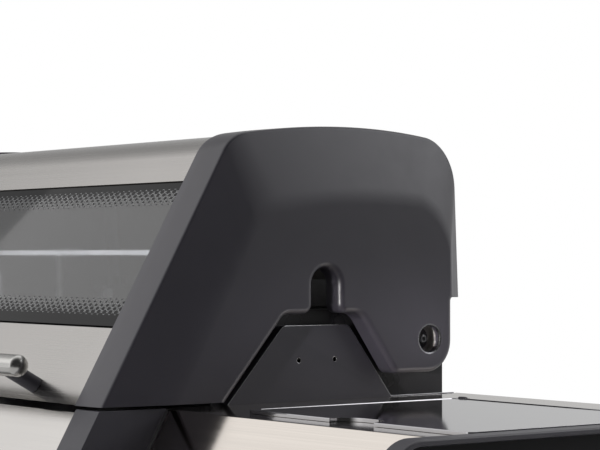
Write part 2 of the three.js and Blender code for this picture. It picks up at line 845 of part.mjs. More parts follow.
function trimPlate() {
  const [leftFoot, leftTop, rightTop, rightFoot] =
    [trimShares.leftFoot, trimShares.leftTop, trimShares.rightTop, trimShares.rightFoot].map(at);
  const foot = worktopHeight - trimSkirt;
  const run = (leftTop.x - leftFoot.x) / (leftTop.y - leftFoot.y);
  const leftLow = leftFoot.x - (leftFoot.y - foot) * run;
  const level = worktopHeight + trimFootRise;
  const rear = trimShares.rearFoot * hoodDepth;
  const out = hoodHalfWidth - trimInset;
  const over = [
    [leftLow, foot], [leftTop.x, leftTop.y, trimCornerRadius], [rightTop.x, rightTop.y, trimCornerRadius],
    [rightFoot.x, level],
  ];
  const face = filleted([...over, [rear, level], [rear, foot]]).reverse();
  const edge = sheetSection(filleted(over, false), 0, sheet);
  const holes = trimShares.holes.map(at).map(({ x, y }) => rodX(
    trimHoleRadius, out - trimDepth, out + overrun, x, y, smallSteps));
  return cut(join(extrudeX(face, out - trimThickness, out), extrudeX(edge, out - trimDepth + fit, out)), ...holes);
}

function hingePin() {
  const seat = fit - pivotRecessDepth;
  const inner = fireboxInside - hoodHalfWidth;
  const [head, face] = [pinHeadRadius, seat + pinHeadHeight];
  const body = turnedX([
    [0, inner], [pinRadius, inner], [pinRadius, seat], [head, seat], [head, face - pivotEdge],
    [head - pivotEdge, face], [0, face],
  ]);
  const socket = turnedX(bar(pinSocketRadius, face - pinSocketDepth, face + overrun), hexagon);
  return cut(body, socket).translate(hoodHalfWidth, pivot.x, pivot.y);
}

// Control panel, its ends and the gas rail

const fasciaFoot = new THREE.Vector2(fasciaEdge.x - fasciaHeight * Math.tan(lean), fasciaBottom);

function fasciaEndCap() {
  const outline = (setIn) => {
    const [across, up] = [setIn / Math.cos(lean), setIn * Math.tan(lean)];
    return filleted([
      [fasciaFoot.x + across + up, fasciaFoot.y + setIn, fasciaFootRadius - setIn],
      [fasciaEdge.x + across - up, fasciaEdge.y - setIn, Math.max(fasciaTopRadius - setIn, 0)],
      [fasciaEdge.x + fasciaDepth - across - up, fasciaEdge.y - setIn],
      [fasciaFoot.x + fasciaDepth - across + up, fasciaFoot.y + setIn],
    ]).reverse();
  };
  return cut(
    extrudeX(outline(0), bandInside, fasciaEnd),
    extrudeX(outline(castingWall), bandInside - overrun, fasciaEnd - castingWall),
    block(bandInside - overrun, fireboxHalf + fit, fireboxFront - fit, fireboxBack, fasciaBottom - overrun, hoodFoot),
  );
}

function controlPanel() {
  const line = filleted([
    [fasciaFoot.x + controlPanelReturn, fasciaFoot.y],
    [fasciaFoot.x, fasciaFoot.y, fasciaFootRadius],
    [fasciaEdge.x, fasciaEdge.y, skinInset + sheet],
    [fireboxFront - fit, fasciaEdge.y],
  ], false);
  const panel = extrudeX(sheetSection(line, skinInset, sheet), -skinHalfWidth, skinHalfWidth);
  const holes = burnerPlaces.map((x) => rodY(stemHoleRadius, -overrun, skinInset + overrun, x, -knobDrop, smallSteps)
    .rotateX(-lean).translate(0, fasciaEdge.x, fasciaEdge.y));
  return cut(panel, ...holes);
}

// A spindle along Y through a panel whose face is at y = face, with a flat at the knob
function stem(seatDepth, face) {
  const back = face - knobGap;
  const front = back - stemSeat;
  const rod = rodY(stemRadius, front, seatDepth, 0, 0, smallSteps);
  return cut(rod, block(
    -stemRadius, stemRadius, front - overrun, back + knobTravel, stemFlat, stemRadius + overrun));
}

// A knob that turns with its spindle and slides on it when it is pushed in
function knob(face) {
  const back = face - knobGap;
  const neck = knobRadius - knobTaper;
  const profile = [
    [0, 0], [knobRadius, 0], [knobRadius, knobSkirtHeight], [neck, knobSkirtHeight + knobEdge],
    [neck - knobTaper, knobHeight - knobEdge], [neck - knobTaper - knobEdge, knobHeight], [0, knobHeight],
  ];
  const grip = filleted([
    [-gripHalfWidth, -neck, gripHalfWidth - knobEdge], [gripHalfWidth, -neck, gripHalfWidth - knobEdge],
    [gripHalfWidth, neck, gripHalfWidth - knobEdge], [-gripHalfWidth, neck, gripHalfWidth - knobEdge],
  ]);
  const body = join(
    turned(profile).rotateX(Math.PI),
    extrudeZ(grip, knobSkirtHeight, knobHeight + gripHeight).rotateX(Math.PI / 2),
  ).translate(0, back, 0);
  const end = back - stemSeat - knobTravel - fit;
  const bore = cut(
    rodY(stemRadius + fit, end, back + overrun, 0, 0, smallSteps),
    block(
      -stemRadius - overrun, stemRadius + overrun, end - overrun, back - fit, stemFlat + fit, stemRadius + overrun),
  );
  return cut(body, bore);
}

function gasRail() {
  const reach = burnerPlaces.at(-1) + railOverhang;
  const rail = rodX(railRadius, -reach, reach - railOverhang / 2, valve.x, valve.y, smallSteps);
  const inlet = rodX(railBore, -reach - overrun, railBoreDepth - reach, valve.x, valve.y, smallSteps);
  const bodies = burnerPlaces.map((x) => rodY(valveRadius, -valveHalfLength, valveHalfLength, 0, 0, smallSteps)
    .rotateX(-lean).translate(x, valve.x, valve.y));
  const sockets = burnerPlaces.map((x) => rodY(bore(stemRadius), -valveHalfLength - overrun, 0, 0, 0, smallSteps)
    .rotateX(-lean).translate(x, valve.x, valve.y));
  const jetEnd = fireboxFront - burnerMouthLead + jetReach;
  const jets = burnerPlaces.map((x) => rodY(jetRadius, valve.x, jetEnd, x, valve.y, smallSteps));
  const brackets = [-1, 1].map((hand) => {
    const x = hand * burnerSpacing;
    const [y0, y1] = [valve.x, fireboxFront - fit];
    const half = railBracketThickness / 2;
    return block(x - railBracketWidth, x + railBracketWidth, y0, y1, valve.y - half, valve.y + half);
  });
  return cut(join(rail, ...bodies, ...jets, ...brackets), inlet, ...sockets);
}

// Burners and cooking surfaces

function burner() {
  const front = fireboxFront - burnerMouthLead;
  const back = fireboxBack - plate - burnerTailGap;
  const neck = front + burnerMouthLength;
  return turnedY([
    [0, front + boreDepth], [burnerBore, front + boreDepth], [burnerBore, front], [burnerMouthRadius, front],
    [burnerMouthRadius, neck], [burnerRadius, neck + burnerTaper], [burnerRadius, back - burnerTailLength],
    [burnerTailRadius, back], [burnerTailRadius, back + burnerTailLength], [0, back + burnerTailLength],
  ], smallSteps).translate(0, 0, burnerZ);
}

const grateFront = fireboxFront + plate + grillGap;
const grateBack = fireboxBack - plate - grillGap;
const grateWidth = fireboxInside - grillGap * 1.5;

function cookingGrill() {
  const z = worktopHeight - grillLevelDrop + fit;
  const base = block(grillGap / 2, grillGap / 2 + grateWidth, grateFront, grateBack, z, z + grillThickness);
  const [x0, x1] = [grillGap / 2 + grillMargin, grillGap / 2 + grateWidth - grillMargin];
  const pitch = (x1 - x0 + grillBarGap) / (grillBars + 1);
  const middle = (grateFront + grateBack) / 2;
  const lanes = [[grateFront + grillMargin, middle - grillCrossBar / 2], [middle + grillCrossBar / 2, grateBack - grillMargin]];
  const slots = Array.from({ length: grillBars + 1 }, (_, i) => x0 + i * pitch).flatMap((x) => lanes.map(([y0, y1]) =>
    block(x, x + pitch - grillBarGap, y0, y1, z - overrun, z + grillThickness + overrun)));
  return cut(base, ...slots);
}

function hotplate() {
  const z = worktopHeight - grillLevelDrop + fit;
  const top = z + hotplateThickness + hotplateRimHeight;
  const outer = block(-grillGap / 2 - grateWidth, -grillGap / 2, grateFront, grateBack, z, top);
  const pan = block(
    -grillGap / 2 - grateWidth + hotplateRim, -grillGap / 2 - hotplateRim, grateFront + hotplateRim,
    grateBack - hotplateRim, z + hotplateThickness, top + overrun);
  const drainY = grateFront + hotplateRim * 2;
  const drain = block(
    -grateWidth / 2 - grillMargin, -grateWidth / 2 + grillMargin, drainY, drainY + hotplateRim, z - overrun, top);
  return cut(outer, pan, drain);
}

function vaporiserGrid() {
  const z = worktopHeight - vaporiserLevelDrop + fit;
  const half = fireboxInside - grillGap;
  const pitch = 2 * half / vaporiserRidges;
  const line = [new THREE.Vector2(-half, z)];
  for (let i = 0; i < vaporiserRidges; i += 1) {
    const x = -half + i * pitch;
    line.push(new THREE.Vector2(x + pitch / 4, z), new THREE.Vector2(x + pitch / 2, z + vaporiserRidgeHeight),
      new THREE.Vector2(x + pitch * 3 / 4, z));
  }
  line.push(new THREE.Vector2(half, z));
  const section = [...line, ...line.map((p) => new THREE.Vector2(p.x, p.y + vaporiserThickness)).reverse()];
  return extrudeZ(section, -grateBack, -grateFront).rotateX(Math.PI / 2);
}

function warmingRack() {
  const half = hoodHalfWidth - rackSideInset - rackFootRadius;
  const level = worktopHeight + rackRise;
  const foot = earTop + fit;
  const [front, back] = [rackFront, rackBack];
  const [barBack, barTop] = [front - rackBarThickness / 2, level + rackBarHeight / 2];
  const bar = block(-half, half, barBack - rackBarThickness / 2, front, barTop - rackBarHeight, barTop);
  const rearRod = rodX(rackRodRadius, -half, half, back, level, smallSteps);
  const pitch = 2 * half / (rackWires + 1);
  const wires = Array.from({ length: rackWires }, (_, i) => rodY(
    rackWireRadius, front - fit, back, -half + (i + 1) * pitch, level, wireSides));
  const ends = [-half, half].flatMap((x) => [
    rodY(rackRodRadius, front - fit, back, x, level, smallSteps),
    ...[front, back].map((y) => rodZ(rackFootRadius, foot, level, x, y, smallSteps)),
  ]);
  return join(bar, rearRod, ...wires, ...ends);
}

// Side shelves

const apronFoot = shelfFront - apronHeight * Math.tan(lean);
const lidX0 = hoodHalfWidth + lidLeft;
const lidX1 = shelfEnd - lidRight;
const wellX0 = lidX0 + wellMargin;
const wellX1 = lidX1 - wellMargin;
const wellY0 = lidFront + wellMargin;
const wellY1 = lidBack - wellMargin;
const wellMiddle = { x: (wellX0 + wellX1) / 2, y: (wellY0 + wellY1) / 2 };
const lugPlaces = [lidX0 + lidLugInset, lidX1 - lidLugInset];
const lidAxis = { y: lidBack + lidBarrelRadius, z: worktopHeight + lidBarrelRadius + fit };
const apronEdge = new THREE.Vector2(shelfFront, worktopHeight);

function roundedBox(x0, x1, y0, y1, radius) {
  return filleted([[x0, y0, radius], [x1, y0, radius], [x1, y1, radius], [x0, y1, radius]]);
}

function shelf(withBurner) {
  const line = filleted([
    [apronFoot, worktopHeight - apronHeight],
    [shelfFront, worktopHeight, shelfEdgeRadius],
    [shelfBack, worktopHeight, shelfEdgeRadius],
    [shelfBack, worktopHeight - shelfBackSkirt],
  ], false);
  const start = fasciaEnd + fit;
  const tieX = cabinetHalfWidth + fit;
  const rear = shelfBack - shelfEdgeRadius;
  const inner = block(shelfInner, start + sheet, shelfFront + fit, rear, shelfBottomFace, worktopHeight);
  const tie = block(
    tieX, tieX + sheet, shelfTieFront, shelfTieBack, worktopHeight - shelfTieDrop, worktopHeight - sheet / 2);
  const body = join(extrudeX(sheetSection(line, 0, sheet), start, shelfEnd), inner, tie);
  if (!withBurner) return body;
  const opening = extrudeZ(
    roundedBox(wellX0, wellX1, wellY0, wellY1, wellCornerRadius), shelfBottomFace - overrun, worktopHeight + overrun);
  const stemHole = rodY(stemHoleRadius, -overrun, overrun, wellMiddle.x, -sideKnobDrop, smallSteps)
    .rotateX(-lean).translate(0, apronEdge.x, apronEdge.y);
  const lugs = lugPlaces.map((x) => {
    const half = lidLugWidth / 2;
    const cheekX = half + fit;
    const pin = rodX(lidPinRadius, x - cheekX - lidCheek, x + cheekX + lidCheek, lidAxis.y, lidAxis.z, smallSteps);
    const cheeks = [-1, 1].map((hand) => {
      const [a, b] = [x + hand * cheekX, x + hand * (cheekX + lidCheek)];
      return block(Math.min(a, b), Math.max(a, b), lidAxis.y - lidPinRadius, lidAxis.y + lidBarrelRadius,
        shelfBottomFace, lidAxis.z + lidPinRadius);
    });
    return join(pin, ...cheeks);
  });
  const lidWall = lidBack + fit;
  const behindLid = block(lidX0 - overrun, lidX1 + overrun, lidBack - lidLugInset, lidWall, worktopHeight,
    worktopHeight + wellDepth);
  return join(cut(body, opening, stemHole), ...lugs.map((lug) => cut(lug, behindLid)));
}

function shelfEndFrame() {
  const [top, foot] = [worktopHeight + endProud, worktopHeight + endProud - endHeight];
  const back = shelfBack + endRearGap;
  const outline = (setIn) => filleted([
    [endFront + setIn, foot + setIn, endFootRadius - setIn], [endFront + setIn, top - setIn, endFrontRadius - setIn],
    [back - setIn, top - setIn, endRearRadius - setIn], [back - setIn, foot + setIn, endRearRadius - setIn],
  ]).reverse();
  const inner = shelfEnd + fit;
  const outer = inner + shelfEndWidth;
  const ring = (x, setIn) => ({ x, points: outline(setIn) });
  return cut(
    loftX([ring(inner, 0), ring(outer - endEdge, 0), ring(outer, endEdge)]),
    loftX([ring(outer - endRecess, endRim + endEdge), ring(outer - endEdge, endRim), ring(outer + overrun, endRim)]),
  );
}

function burnerLid() {
  const [foot, top] = [worktopHeight + fit, worktopHeight + lidHeight];
  const middle = (lidX0 + lidX1) / 2;
  const outline = (setIn) => {
    const corner = lidCornerRadius - setIn;
    const [x0, x1, y0, y1] = [lidX0 + setIn, lidX1 - setIn, lidFront + setIn, lidBack - setIn];
    const [n0, n1] = [middle - notchWidth / 2 - setIn, middle + notchWidth / 2 + setIn];
    const deep = lidFront + notchDepth + setIn;
    return filleted([
      [x0, y0, corner], [n0, y0], [n0, deep, notchRadius + setIn], [n1, deep, notchRadius + setIn], [n1, y0],
      [x1, y0, corner], [x1, y1, corner], [x0, y1, corner],
    ]);
  };
  const tray = cut(extrudeZ(outline(0), foot, top), extrudeZ(outline(sheet), foot - overrun, top - sheet));
  const barrels = lugPlaces.map((x) => {
    const [a, b] = [x - lidLugWidth / 2, x + lidLugWidth / 2];
    const strap = block(a, b, lidBack - sheet, lidAxis.y, worktopHeight + fit, worktopHeight + lidHeight);
    const barrel = rodX(lidBarrelRadius, a, b, lidAxis.y, lidAxis.z, smallSteps);
    return cut(join(strap, barrel), rodX(bore(lidPinRadius), a - overrun, b + overrun, lidAxis.y, lidAxis.z, smallSteps));
  });
  return join(tray, ...barrels);
}

const wellRing = (setIn, z) => ({ z, points: roundedBox(
  wellX0 + fit + setIn, wellX1 - fit - setIn, wellY0 + fit + setIn, wellY1 - fit - setIn, wellCornerRadius - fit) });

// The room inside the side burner's bowl, less a clearance
function wellHollow(clearance) {
  const wall = sheet + clearance;
  return loftZ([
    wellRing(wellTaper + wall, worktopHeight - wellDepth + wall),
    wellRing(wall, worktopHeight + fit + sheet + overrun),
  ]);
}

function burnerWell() {
  const top = worktopHeight + fit + sheet;
  const rim = extrudeZ(
    roundedBox(wellX0 - wellFlange, wellX1 + wellFlange, wellY0 - wellFlange, wellY1 + wellFlange, wellCornerRadius),
    worktopHeight + fit, top);
  const bowl = loftZ([wellRing(wellTaper, worktopHeight - wellDepth), wellRing(0, top - sheet / 2)]);
  const pipeHole = rodY(sidePipeRadius + fit, wellY0 - overrun, wellMiddle.y, wellMiddle.x, sidePipeZ, smallSteps);
  return cut(join(rim, bowl), wellHollow(0), pipeHole);
}

// A closed form through outlines in the X-Y plane, each { z, points }
function loftZ(rings) {
  const turnedRings = rings.map(({ z, points }) => ({ x: z, points }));
  return loftX(turnedRings).applyMatrix4(new THREE.Matrix4().makeBasis(
    new THREE.Vector3(0, 0, 1), new THREE.Vector3(1, 0, 0), new THREE.Vector3(0, 1, 0)));
}

const sideValve = valvePlace(sideKnobDrop, sideValveDistance, apronEdge);
const wellFloor = worktopHeight - wellDepth + sheet;
const sideRingZ = wellFloor + sideRingRise;
const sidePipeZ = wellFloor + sidePipeRadius + fit;

function sideBurner() {
  const { x, y } = wellMiddle;
  const head = turnedZ([
    [0, wellFloor + fit], [sideHubRadius, wellFloor + fit], [sideHubRadius, sideRingZ],
    [sideRingRadius, sideRingZ], [sideRingRadius, sideRingZ + sideRingHeight / 2],
    [sideRingRadius - overrun, sideRingZ + sideRingHeight], [0, sideRingZ + sideRingHeight],
  ]).translate(x, y, 0);
  const pipe = rodY(sidePipeRadius, sideValve.x, y, x, sidePipeZ, smallSteps);
  const body = rodY(valveRadius, -valveHalfLength, valveHalfLength, 0, 0, smallSteps)
    .rotateX(-lean).translate(x, sideValve.x, sideValve.y);
  const socket = rodY(bore(stemRadius), -valveHalfLength - overrun, 0, 0, 0, smallSteps)
    .rotateX(-lean).translate(x, sideValve.x, sideValve.y);
  const riser = rodZ(sidePipeRadius, Math.min(sideValve.y, sidePipeZ), Math.max(sideValve.y, sidePipeZ), x, sideValve.x, smallSteps);
  return cut(join(head, pipe, riser, body), socket);
}

function sideTrivet() {
  const top = worktopHeight - trivetDrop;
  const { x, y } = wellMiddle;
  const foot = top - trivetBarHeight;
  const ringOuter = trivetRingRadius + trivetRingWidth;
  const ring = turnedZ([
    [trivetRingRadius, foot], [ringOuter, foot], [ringOuter, top], [trivetRingRadius, top], [trivetRingRadius, foot],
  ]).translate(x, y, 0);
  const half = trivetBarWidth / 2;
  const bars = [
    block(wellX0, wellX1, y - half, y + half, foot, top),
    block(x - half, x + half, wellY0, wellY1, foot, top),
  ];
  const open = rodZ(trivetRingRadius / 2, foot - overrun, top + overrun, x, y);
  return common(cut(join(ring, ...bars), open), wellHollow(fit));
}

// Cabinet, doors and grease tray

const capRear = (z) => fasciaEdge.x + fasciaDepth - (fasciaTop - z) * Math.tan(lean) + fit;
const railTop = fasciaBottom - fit;
const doorFront = capRear(railTop) - doorSetIn;
const cabinetFront = doorFront + doorThickness + fit;
const cabinetFoot = castorHeight;
const railFoot = railTop - frontRailHeight;
const doorBottom = cabinetFoot + floorThickness + doorGap;
const doorTop = railFoot - doorGap;
const castorPlaces = [
  ['front_left', -1, castorFront], ['front_right', 1, castorFront],
  ['rear_left', -1, castorBack], ['rear_right', 1, castorBack],
];
const castorX = cabinetHalfWidth - castorSideInset;
const doorOuter = cabinetHalfWidth - plate - doorFit;
const doorPin = { x: doorOuter - doorPinSetIn, y: doorFront + doorPinSetIn };

function cabinet() {
  const outer = cabinetHalfWidth;
  const inner = outer - plate;
  const top = shelfBottomFace - fit;
  const side = [
    upright(cabinetFront, cabinetFoot), upright(cabinetFront, railTop), upright(capRear(railTop), railTop),
    upright(capRear(top), top), upright(fireboxBack, top), upright(fireboxBack, cabinetFoot),
  ].reverse();
  const sides = [-1, 1].map((hand) => extrudeX(side, Math.min(hand * inner, hand * outer), Math.max(hand * inner, hand * outer)));
  const floor = block(-outer, outer, doorFront, fireboxBack, cabinetFoot, cabinetFoot + floorThickness);
  const backTop = worktopHeight - railTopDrop - trayDepth - trayClearance;
  const back = block(-outer, outer, fireboxBack - plate, fireboxBack, cabinetFoot, backTop);
  const rail = [
    block(-outer, outer, cabinetFront, cabinetFront + plate, railFoot, railTop),
    block(-outer, outer, doorFront, capRear(railTop) - plate, railTop - plate, railTop),
    block(-outer, outer, doorFront, cabinetFront + floorRim, railFoot, railFoot + plate),
  ];
  const hangTop = worktopHeight - hangDrop - plate - fit;
  const hangers = [-1, 1].map((hand) => {
    const [a, b] = [hand * (fireboxHalf + fit), hand * (inner + fit)];
    return block(Math.min(a, b), Math.max(a, b), shelfTieFront, fireboxBack, hangTop - plate, hangTop);
  });
  const runnerTop = worktopHeight - railTopDrop - fit;
  const runners = [-1, 1].flatMap((hand) => {
    const [a, b] = [hand * runnerSpread, hand * (runnerSpread + runnerWidth)];
    const [x0, x1] = [Math.min(a, b), Math.max(a, b)];
    const outerX = hand > 0 ? x1 - runnerThickness : x0;
    return [
      block(x0, x1, cabinetFront, fireboxBack - plate / 2, runnerTop - runnerThickness, runnerTop),
      block(outerX, outerX + runnerThickness, cabinetFront, cabinetFront + plate + floorRim,
        runnerTop - runnerThickness, railFoot + plate),
      block(outerX, outerX + runnerThickness, fireboxBack - plate - floorRim, fireboxBack - plate / 2,
        backTop - floorRim, runnerTop),
    ];
  });
  const sockets = castorPlaces.map(([, hand, y]) => rodZ(
    bore(kingpinRadius) + kingpinWall, cabinetFoot, cabinetFoot + kingpinHeight, hand * castorX, y, smallSteps));
  const kingpinHoles = castorPlaces.map(([, hand, y]) => rodZ(
    bore(kingpinRadius), cabinetFoot - overrun, cabinetFoot + kingpinHeight + overrun, hand * castorX, y, smallSteps));
  const pinHoles = [-1, 1].map((hand) => rodZ(
    bore(doorPinRadius), cabinetFoot - overrun, railTop + overrun, hand * doorPin.x, doorPin.y, smallSteps));
  return cut(
    join(floor, ...sides, back, ...rail, ...hangers, ...runners, ...sockets), ...kingpinHoles, ...pinHoles);
}

function door() {
  const [x0, x1] = [doorGap / 2, doorOuter];
  const [y0, y1] = [doorFront, doorFront + doorThickness];
  const tray = cut(
    block(x0, x1, y0, y1, doorBottom, doorTop),
    block(x0 + sheet, x1 - sheet, y0 + sheet, y1 + overrun, doorBottom + sheet, doorTop - sheet),
  );
  const padX = doorPin.x - doorPadDepth;
  const pads = [[doorBottom, doorBottom + doorPadLength], [doorTop - doorPadLength, doorTop]].map(([z0, z1]) =>
    block(padX, x1, y0, y0 + doorPadDepth + doorPinSetIn / 2, z0, z1));
  const pins = [
    rodZ(doorPinRadius, doorBottom - doorPinReach + doorGap * 2, doorBottom + doorGap, doorPin.x, doorPin.y, smallSteps),
    rodZ(doorPinRadius, doorTop - doorGap, doorTop + doorPinReach - doorGap * 2, doorPin.x, doorPin.y, smallSteps),
  ];
  return join(tray, ...pads, ...pins);
}

function doorHandle() {
  const middle = doorTop - doorHandleDrop;
  const [z0, z1] = [middle - doorHandleLength / 2, middle + doorHandleLength / 2];
  const y = doorFront - doorHandleStandoff;
  const posts = [z0 + doorHandleStandoff, z1 - doorHandleStandoff].map((z) => rodY(
    doorHandlePostRadius, y, doorFront - fit, doorHandleInset, z, smallSteps));
  return join(rodZ(doorHandleRadius, z0, z1, doorHandleInset, y), ...posts);
}

function greaseTray() {
  const top = worktopHeight - railTopDrop;
  const half = runnerSpread - fit * 2;
  const body = cut(
    block(-half, half, trayFront, trayBack, top - trayDepth, top + sheet),
    block(-half + sheet, half - sheet, trayFront + sheet, trayBack - sheet, top - trayDepth + sheet, top + overrun),
  );
  const wings = [-1, 1].map((hand) => {
    const [a, b] = [hand * (half - sheet), hand * (half + trayFlange)];
    return block(Math.min(a, b), Math.max(a, b), trayFront, trayBack, top, top + sheet);
  });
  const grip = block(-half / 2, half / 2, trayBack - sheet, trayBack + trayGrip, top, top + sheet);
  return join(body, ...wings, grip);
}

// Castors. The fork's origin is on the swivel axis, at the cabinet's underside.

const axleDrop = castorHeight - wheelRadius;

function castorFork() {
  const top = -fit;
  const cheekX = hubWidth / 2 + fit;
  const cheekTop = top - forkTopThickness / 2;
  const footRadius = hubRadius - forkTopThickness / 2;
  const cheek = filleted([
    [-forkTopRadius / 2, cheekTop], [forkTopRadius, cheekTop],
    [forkTrail + hubRadius, -axleDrop - hubRadius, footRadius],
    [forkTrail - hubRadius, -axleDrop - hubRadius, footRadius],
  ]).reverse();
  const cheeks = [-1, 1].map((hand) => {
    const [a, b] = [hand * cheekX, hand * (cheekX + forkWall)];
    return extrudeX(cheek, Math.min(a, b), Math.max(a, b));
  });
  const head = rodZ(forkTopRadius, top - forkTopThickness, top, 0, 0);
  const kingpin = rodZ(kingpinRadius, top - forkTopThickness / 2, kingpinHeight, 0, 0, smallSteps);
  const axle = rodX(
    axleRadius, -cheekX - forkWall - axleHead, cheekX + forkWall + axleHead, forkTrail, -axleDrop, smallSteps);
  return join(head, kingpin, ...cheeks, axle);
}

function castorWheel() {
  const [half, tread] = [wheelWidth / 2, hubWidth / 2];
  const eye = bore(axleRadius, roundSteps);
  return turnedX([
    [eye, -tread], [hubRadius, -tread], [hubRadius, -half], [wheelRadius - tyreEdge, -half],
    [wheelRadius, tyreEdge - half], [wheelRadius, half - tyreEdge], [wheelRadius - tyreEdge, half],
    [hubRadius, half], [hubRadius, tread], [eye, tread], [eye, -tread],
  ]);
}

// Assembly

const barbecue = new THREE.Group();
const hood = new THREE.Group();
const hoodFront = new THREE.Group();
const bodyGroup = new THREE.Group();
const fascia = new THREE.Group();
const apron = new THREE.Group();
barbecue.add(hood, bodyGroup);
hood.add(hoodFront);
bodyGroup.add(fascia, apron);
hoodFront.position.set(0, slopeFoot.x, slopeFoot.y);
hoodFront.rotation.x = -lean;
fascia.position.set(0, fasciaEdge.x, fasciaEdge.y);
fascia.rotation.x = -lean;
apron.position.set(0, apronEdge.x, apronEdge.y);
apron.rotation.x = -lean;

const endCasting = hoodEnd();
piece('hood_end_right', endCasting, 'casting', hood);
piece('hood_end_left', mirrored(endCasting), 'casting', hood);
piece('hood_skin', hoodSkin(), 'steel', hood);
piece('hood_lower_panel', lowerPanel(), 'steel', hoodFront);
piece('hood_window', hoodWindow(), 'glass', hoodFront);
piece('hood_handle_bar', handleBar(), 'steel', hoodFront);
piece('hood_handle_post_right', handlePost(postSpread), 'casting', hoodFront);
piece('hood_handle_post_left', handlePost(-postSpread), 'casting', hoodFront);
piece('thermometer_housing', gaugeHousing(), 'chrome', hoodFront).position.z = gaugeRise;
const needleFace = skinInset - fit - (gaugeDepth - gaugeRecess) - fit;
const needle = piece('thermometer_needle', gaugeNeedle(), 'enamel', hoodFront);
needle.position.set(0, needleFace, gaugeRise);
needle.rotation.y = -needleRest;

piece('firebox', firebox(), 'enamel', bodyGroup);
piece('rear_panel', rearPanel(), 'enamel', bodyGroup);
const trim = trimPlate();
piece('side_plate_right', trim, 'casting', bodyGroup);
piece('side_plate_left', mirrored(trim), 'casting', bodyGroup);
const pin = hingePin();
piece('hinge_pin_right', pin, 'chrome', bodyGroup);
piece('hinge_pin_left', mirrored(pin), 'chrome', bodyGroup);
piece('control_panel', controlPanel(), 'steel', bodyGroup);
const cap = fasciaEndCap();
piece('fascia_end_right', cap, 'casting', bodyGroup);
piece('fascia_end_left', mirrored(cap), 'casting', bodyGroup);
piece('gas_manifold', gasRail(), 'brass', bodyGroup);
burnerPlaces.forEach((x, i) => {
  piece(`burner_${i + 1}`, burner(), 'castIron', bodyGroup).position.x = x;
  piece(`valve_stem_${i + 1}`, stem(valveDistance - fit, skinInset), 'brass', fascia).position.set(x, 0, -knobDrop);
  piece(`knob_${i + 1}`, knob(skinInset), 'plastic', fascia).position.set(x, 0, -knobDrop);
});
piece('vaporiser_grid', vaporiserGrid(), 'enamel', bodyGroup);
piece('cooking_grill', cookingGrill(), 'castIron', bodyGroup);
piece('hotplate', hotplate(), 'castIron', bodyGroup);
piece('warming_rack', warmingRack(), 'chrome', bodyGroup);
piece('grease_tray', greaseTray(), 'galvanised', bodyGroup);

piece('shelf_right', shelf(true), 'steel', bodyGroup);
piece('shelf_left', mirrored(shelf(false)), 'steel', bodyGroup);
const shelfFrame = shelfEndFrame();
piece('shelf_end_right', shelfFrame, 'casting', bodyGroup);
piece('shelf_end_left', mirrored(shelfFrame), 'casting', bodyGroup);
piece('side_burner_lid', burnerLid(), 'polished', bodyGroup);
piece('side_burner_bowl', burnerWell(), 'enamel', bodyGroup);
piece('side_burner_ring', sideBurner(), 'castIron', bodyGroup);
piece('side_burner_trivet', sideTrivet(), 'castIron', bodyGroup);
piece('side_burner_stem', stem(sideValveDistance - fit, 0), 'brass', apron).position.set(wellMiddle.x, 0, -sideKnobDrop);
piece('side_burner_knob', knob(0), 'plastic', apron).position.set(wellMiddle.x, 0, -sideKnobDrop);

piece('cabinet', cabinet(), 'enamel', bodyGroup);
const rightDoor = door();
piece('door_right', rightDoor, 'steel', bodyGroup);
piece('door_left', mirrored(rightDoor), 'steel', bodyGroup);
const pull = doorHandle();
piece('door_handle_right', pull, 'steel', bodyGroup);
piece('door_handle_left', mirrored(pull), 'steel', bodyGroup);
castorPlaces.forEach(([place, hand, y]) => {
  const castor = new THREE.Group();
  castor.position.set(hand * castorX, y, cabinetFoot);
  bodyGroup.add(castor);
  piece(`castor_fork_${place}`, castorFork(), 'galvanised', castor);
  piece(`castor_wheel_${place}`, castorWheel(), 'rubber', castor).position.set(0, forkTrail, -axleDrop);
});

// The origin is the middle of the footprint.
const bounds = new THREE.Box3().setFromObject(barbecue);
const centre = bounds.getCenter(new THREE.Vector3());
barbecue.position.set(-centre.x, -centre.y, -bounds.min.z);

export default barbecue;
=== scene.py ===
import json
import math

import bmesh
import bpy
from mathutils import Matrix, Vector


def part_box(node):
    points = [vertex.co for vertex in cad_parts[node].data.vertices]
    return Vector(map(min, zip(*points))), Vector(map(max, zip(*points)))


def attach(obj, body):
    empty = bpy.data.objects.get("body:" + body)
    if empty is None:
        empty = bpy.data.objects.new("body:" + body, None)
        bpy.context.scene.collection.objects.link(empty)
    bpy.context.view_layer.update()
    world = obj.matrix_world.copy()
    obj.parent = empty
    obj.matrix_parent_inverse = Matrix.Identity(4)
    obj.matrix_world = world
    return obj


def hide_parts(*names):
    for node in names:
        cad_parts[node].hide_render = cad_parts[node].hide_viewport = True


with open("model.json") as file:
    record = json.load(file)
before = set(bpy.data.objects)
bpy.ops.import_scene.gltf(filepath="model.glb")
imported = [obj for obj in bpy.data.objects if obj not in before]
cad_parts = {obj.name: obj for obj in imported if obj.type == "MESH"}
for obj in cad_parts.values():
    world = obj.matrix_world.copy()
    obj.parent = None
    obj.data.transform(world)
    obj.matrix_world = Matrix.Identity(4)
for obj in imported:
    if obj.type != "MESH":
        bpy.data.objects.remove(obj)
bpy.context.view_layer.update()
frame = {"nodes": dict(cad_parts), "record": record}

# Sizes are in millimetres, as in the CAD, and become metres when a piece is made.
nodes = frame["nodes"]
record = frame["record"]
slots = {part["node"]: part["material_slot"] for part in record["subparts"]}
bodies = {node: body for body, group in record["behaviour"]["bodies"].items() for node in group}
MM = 0.001

# The whole barbecue
SHIFT_Y = -239.41119095
HOOD_HALF_WIDTH = 430
HOOD_DEPTH = 540
HOOD_RISE = 326.5
HOOD_FOOT = 906.5
CASTING_WALL = 4
FIT = 0.3
OVERRUN = 6
WELD = 0.001

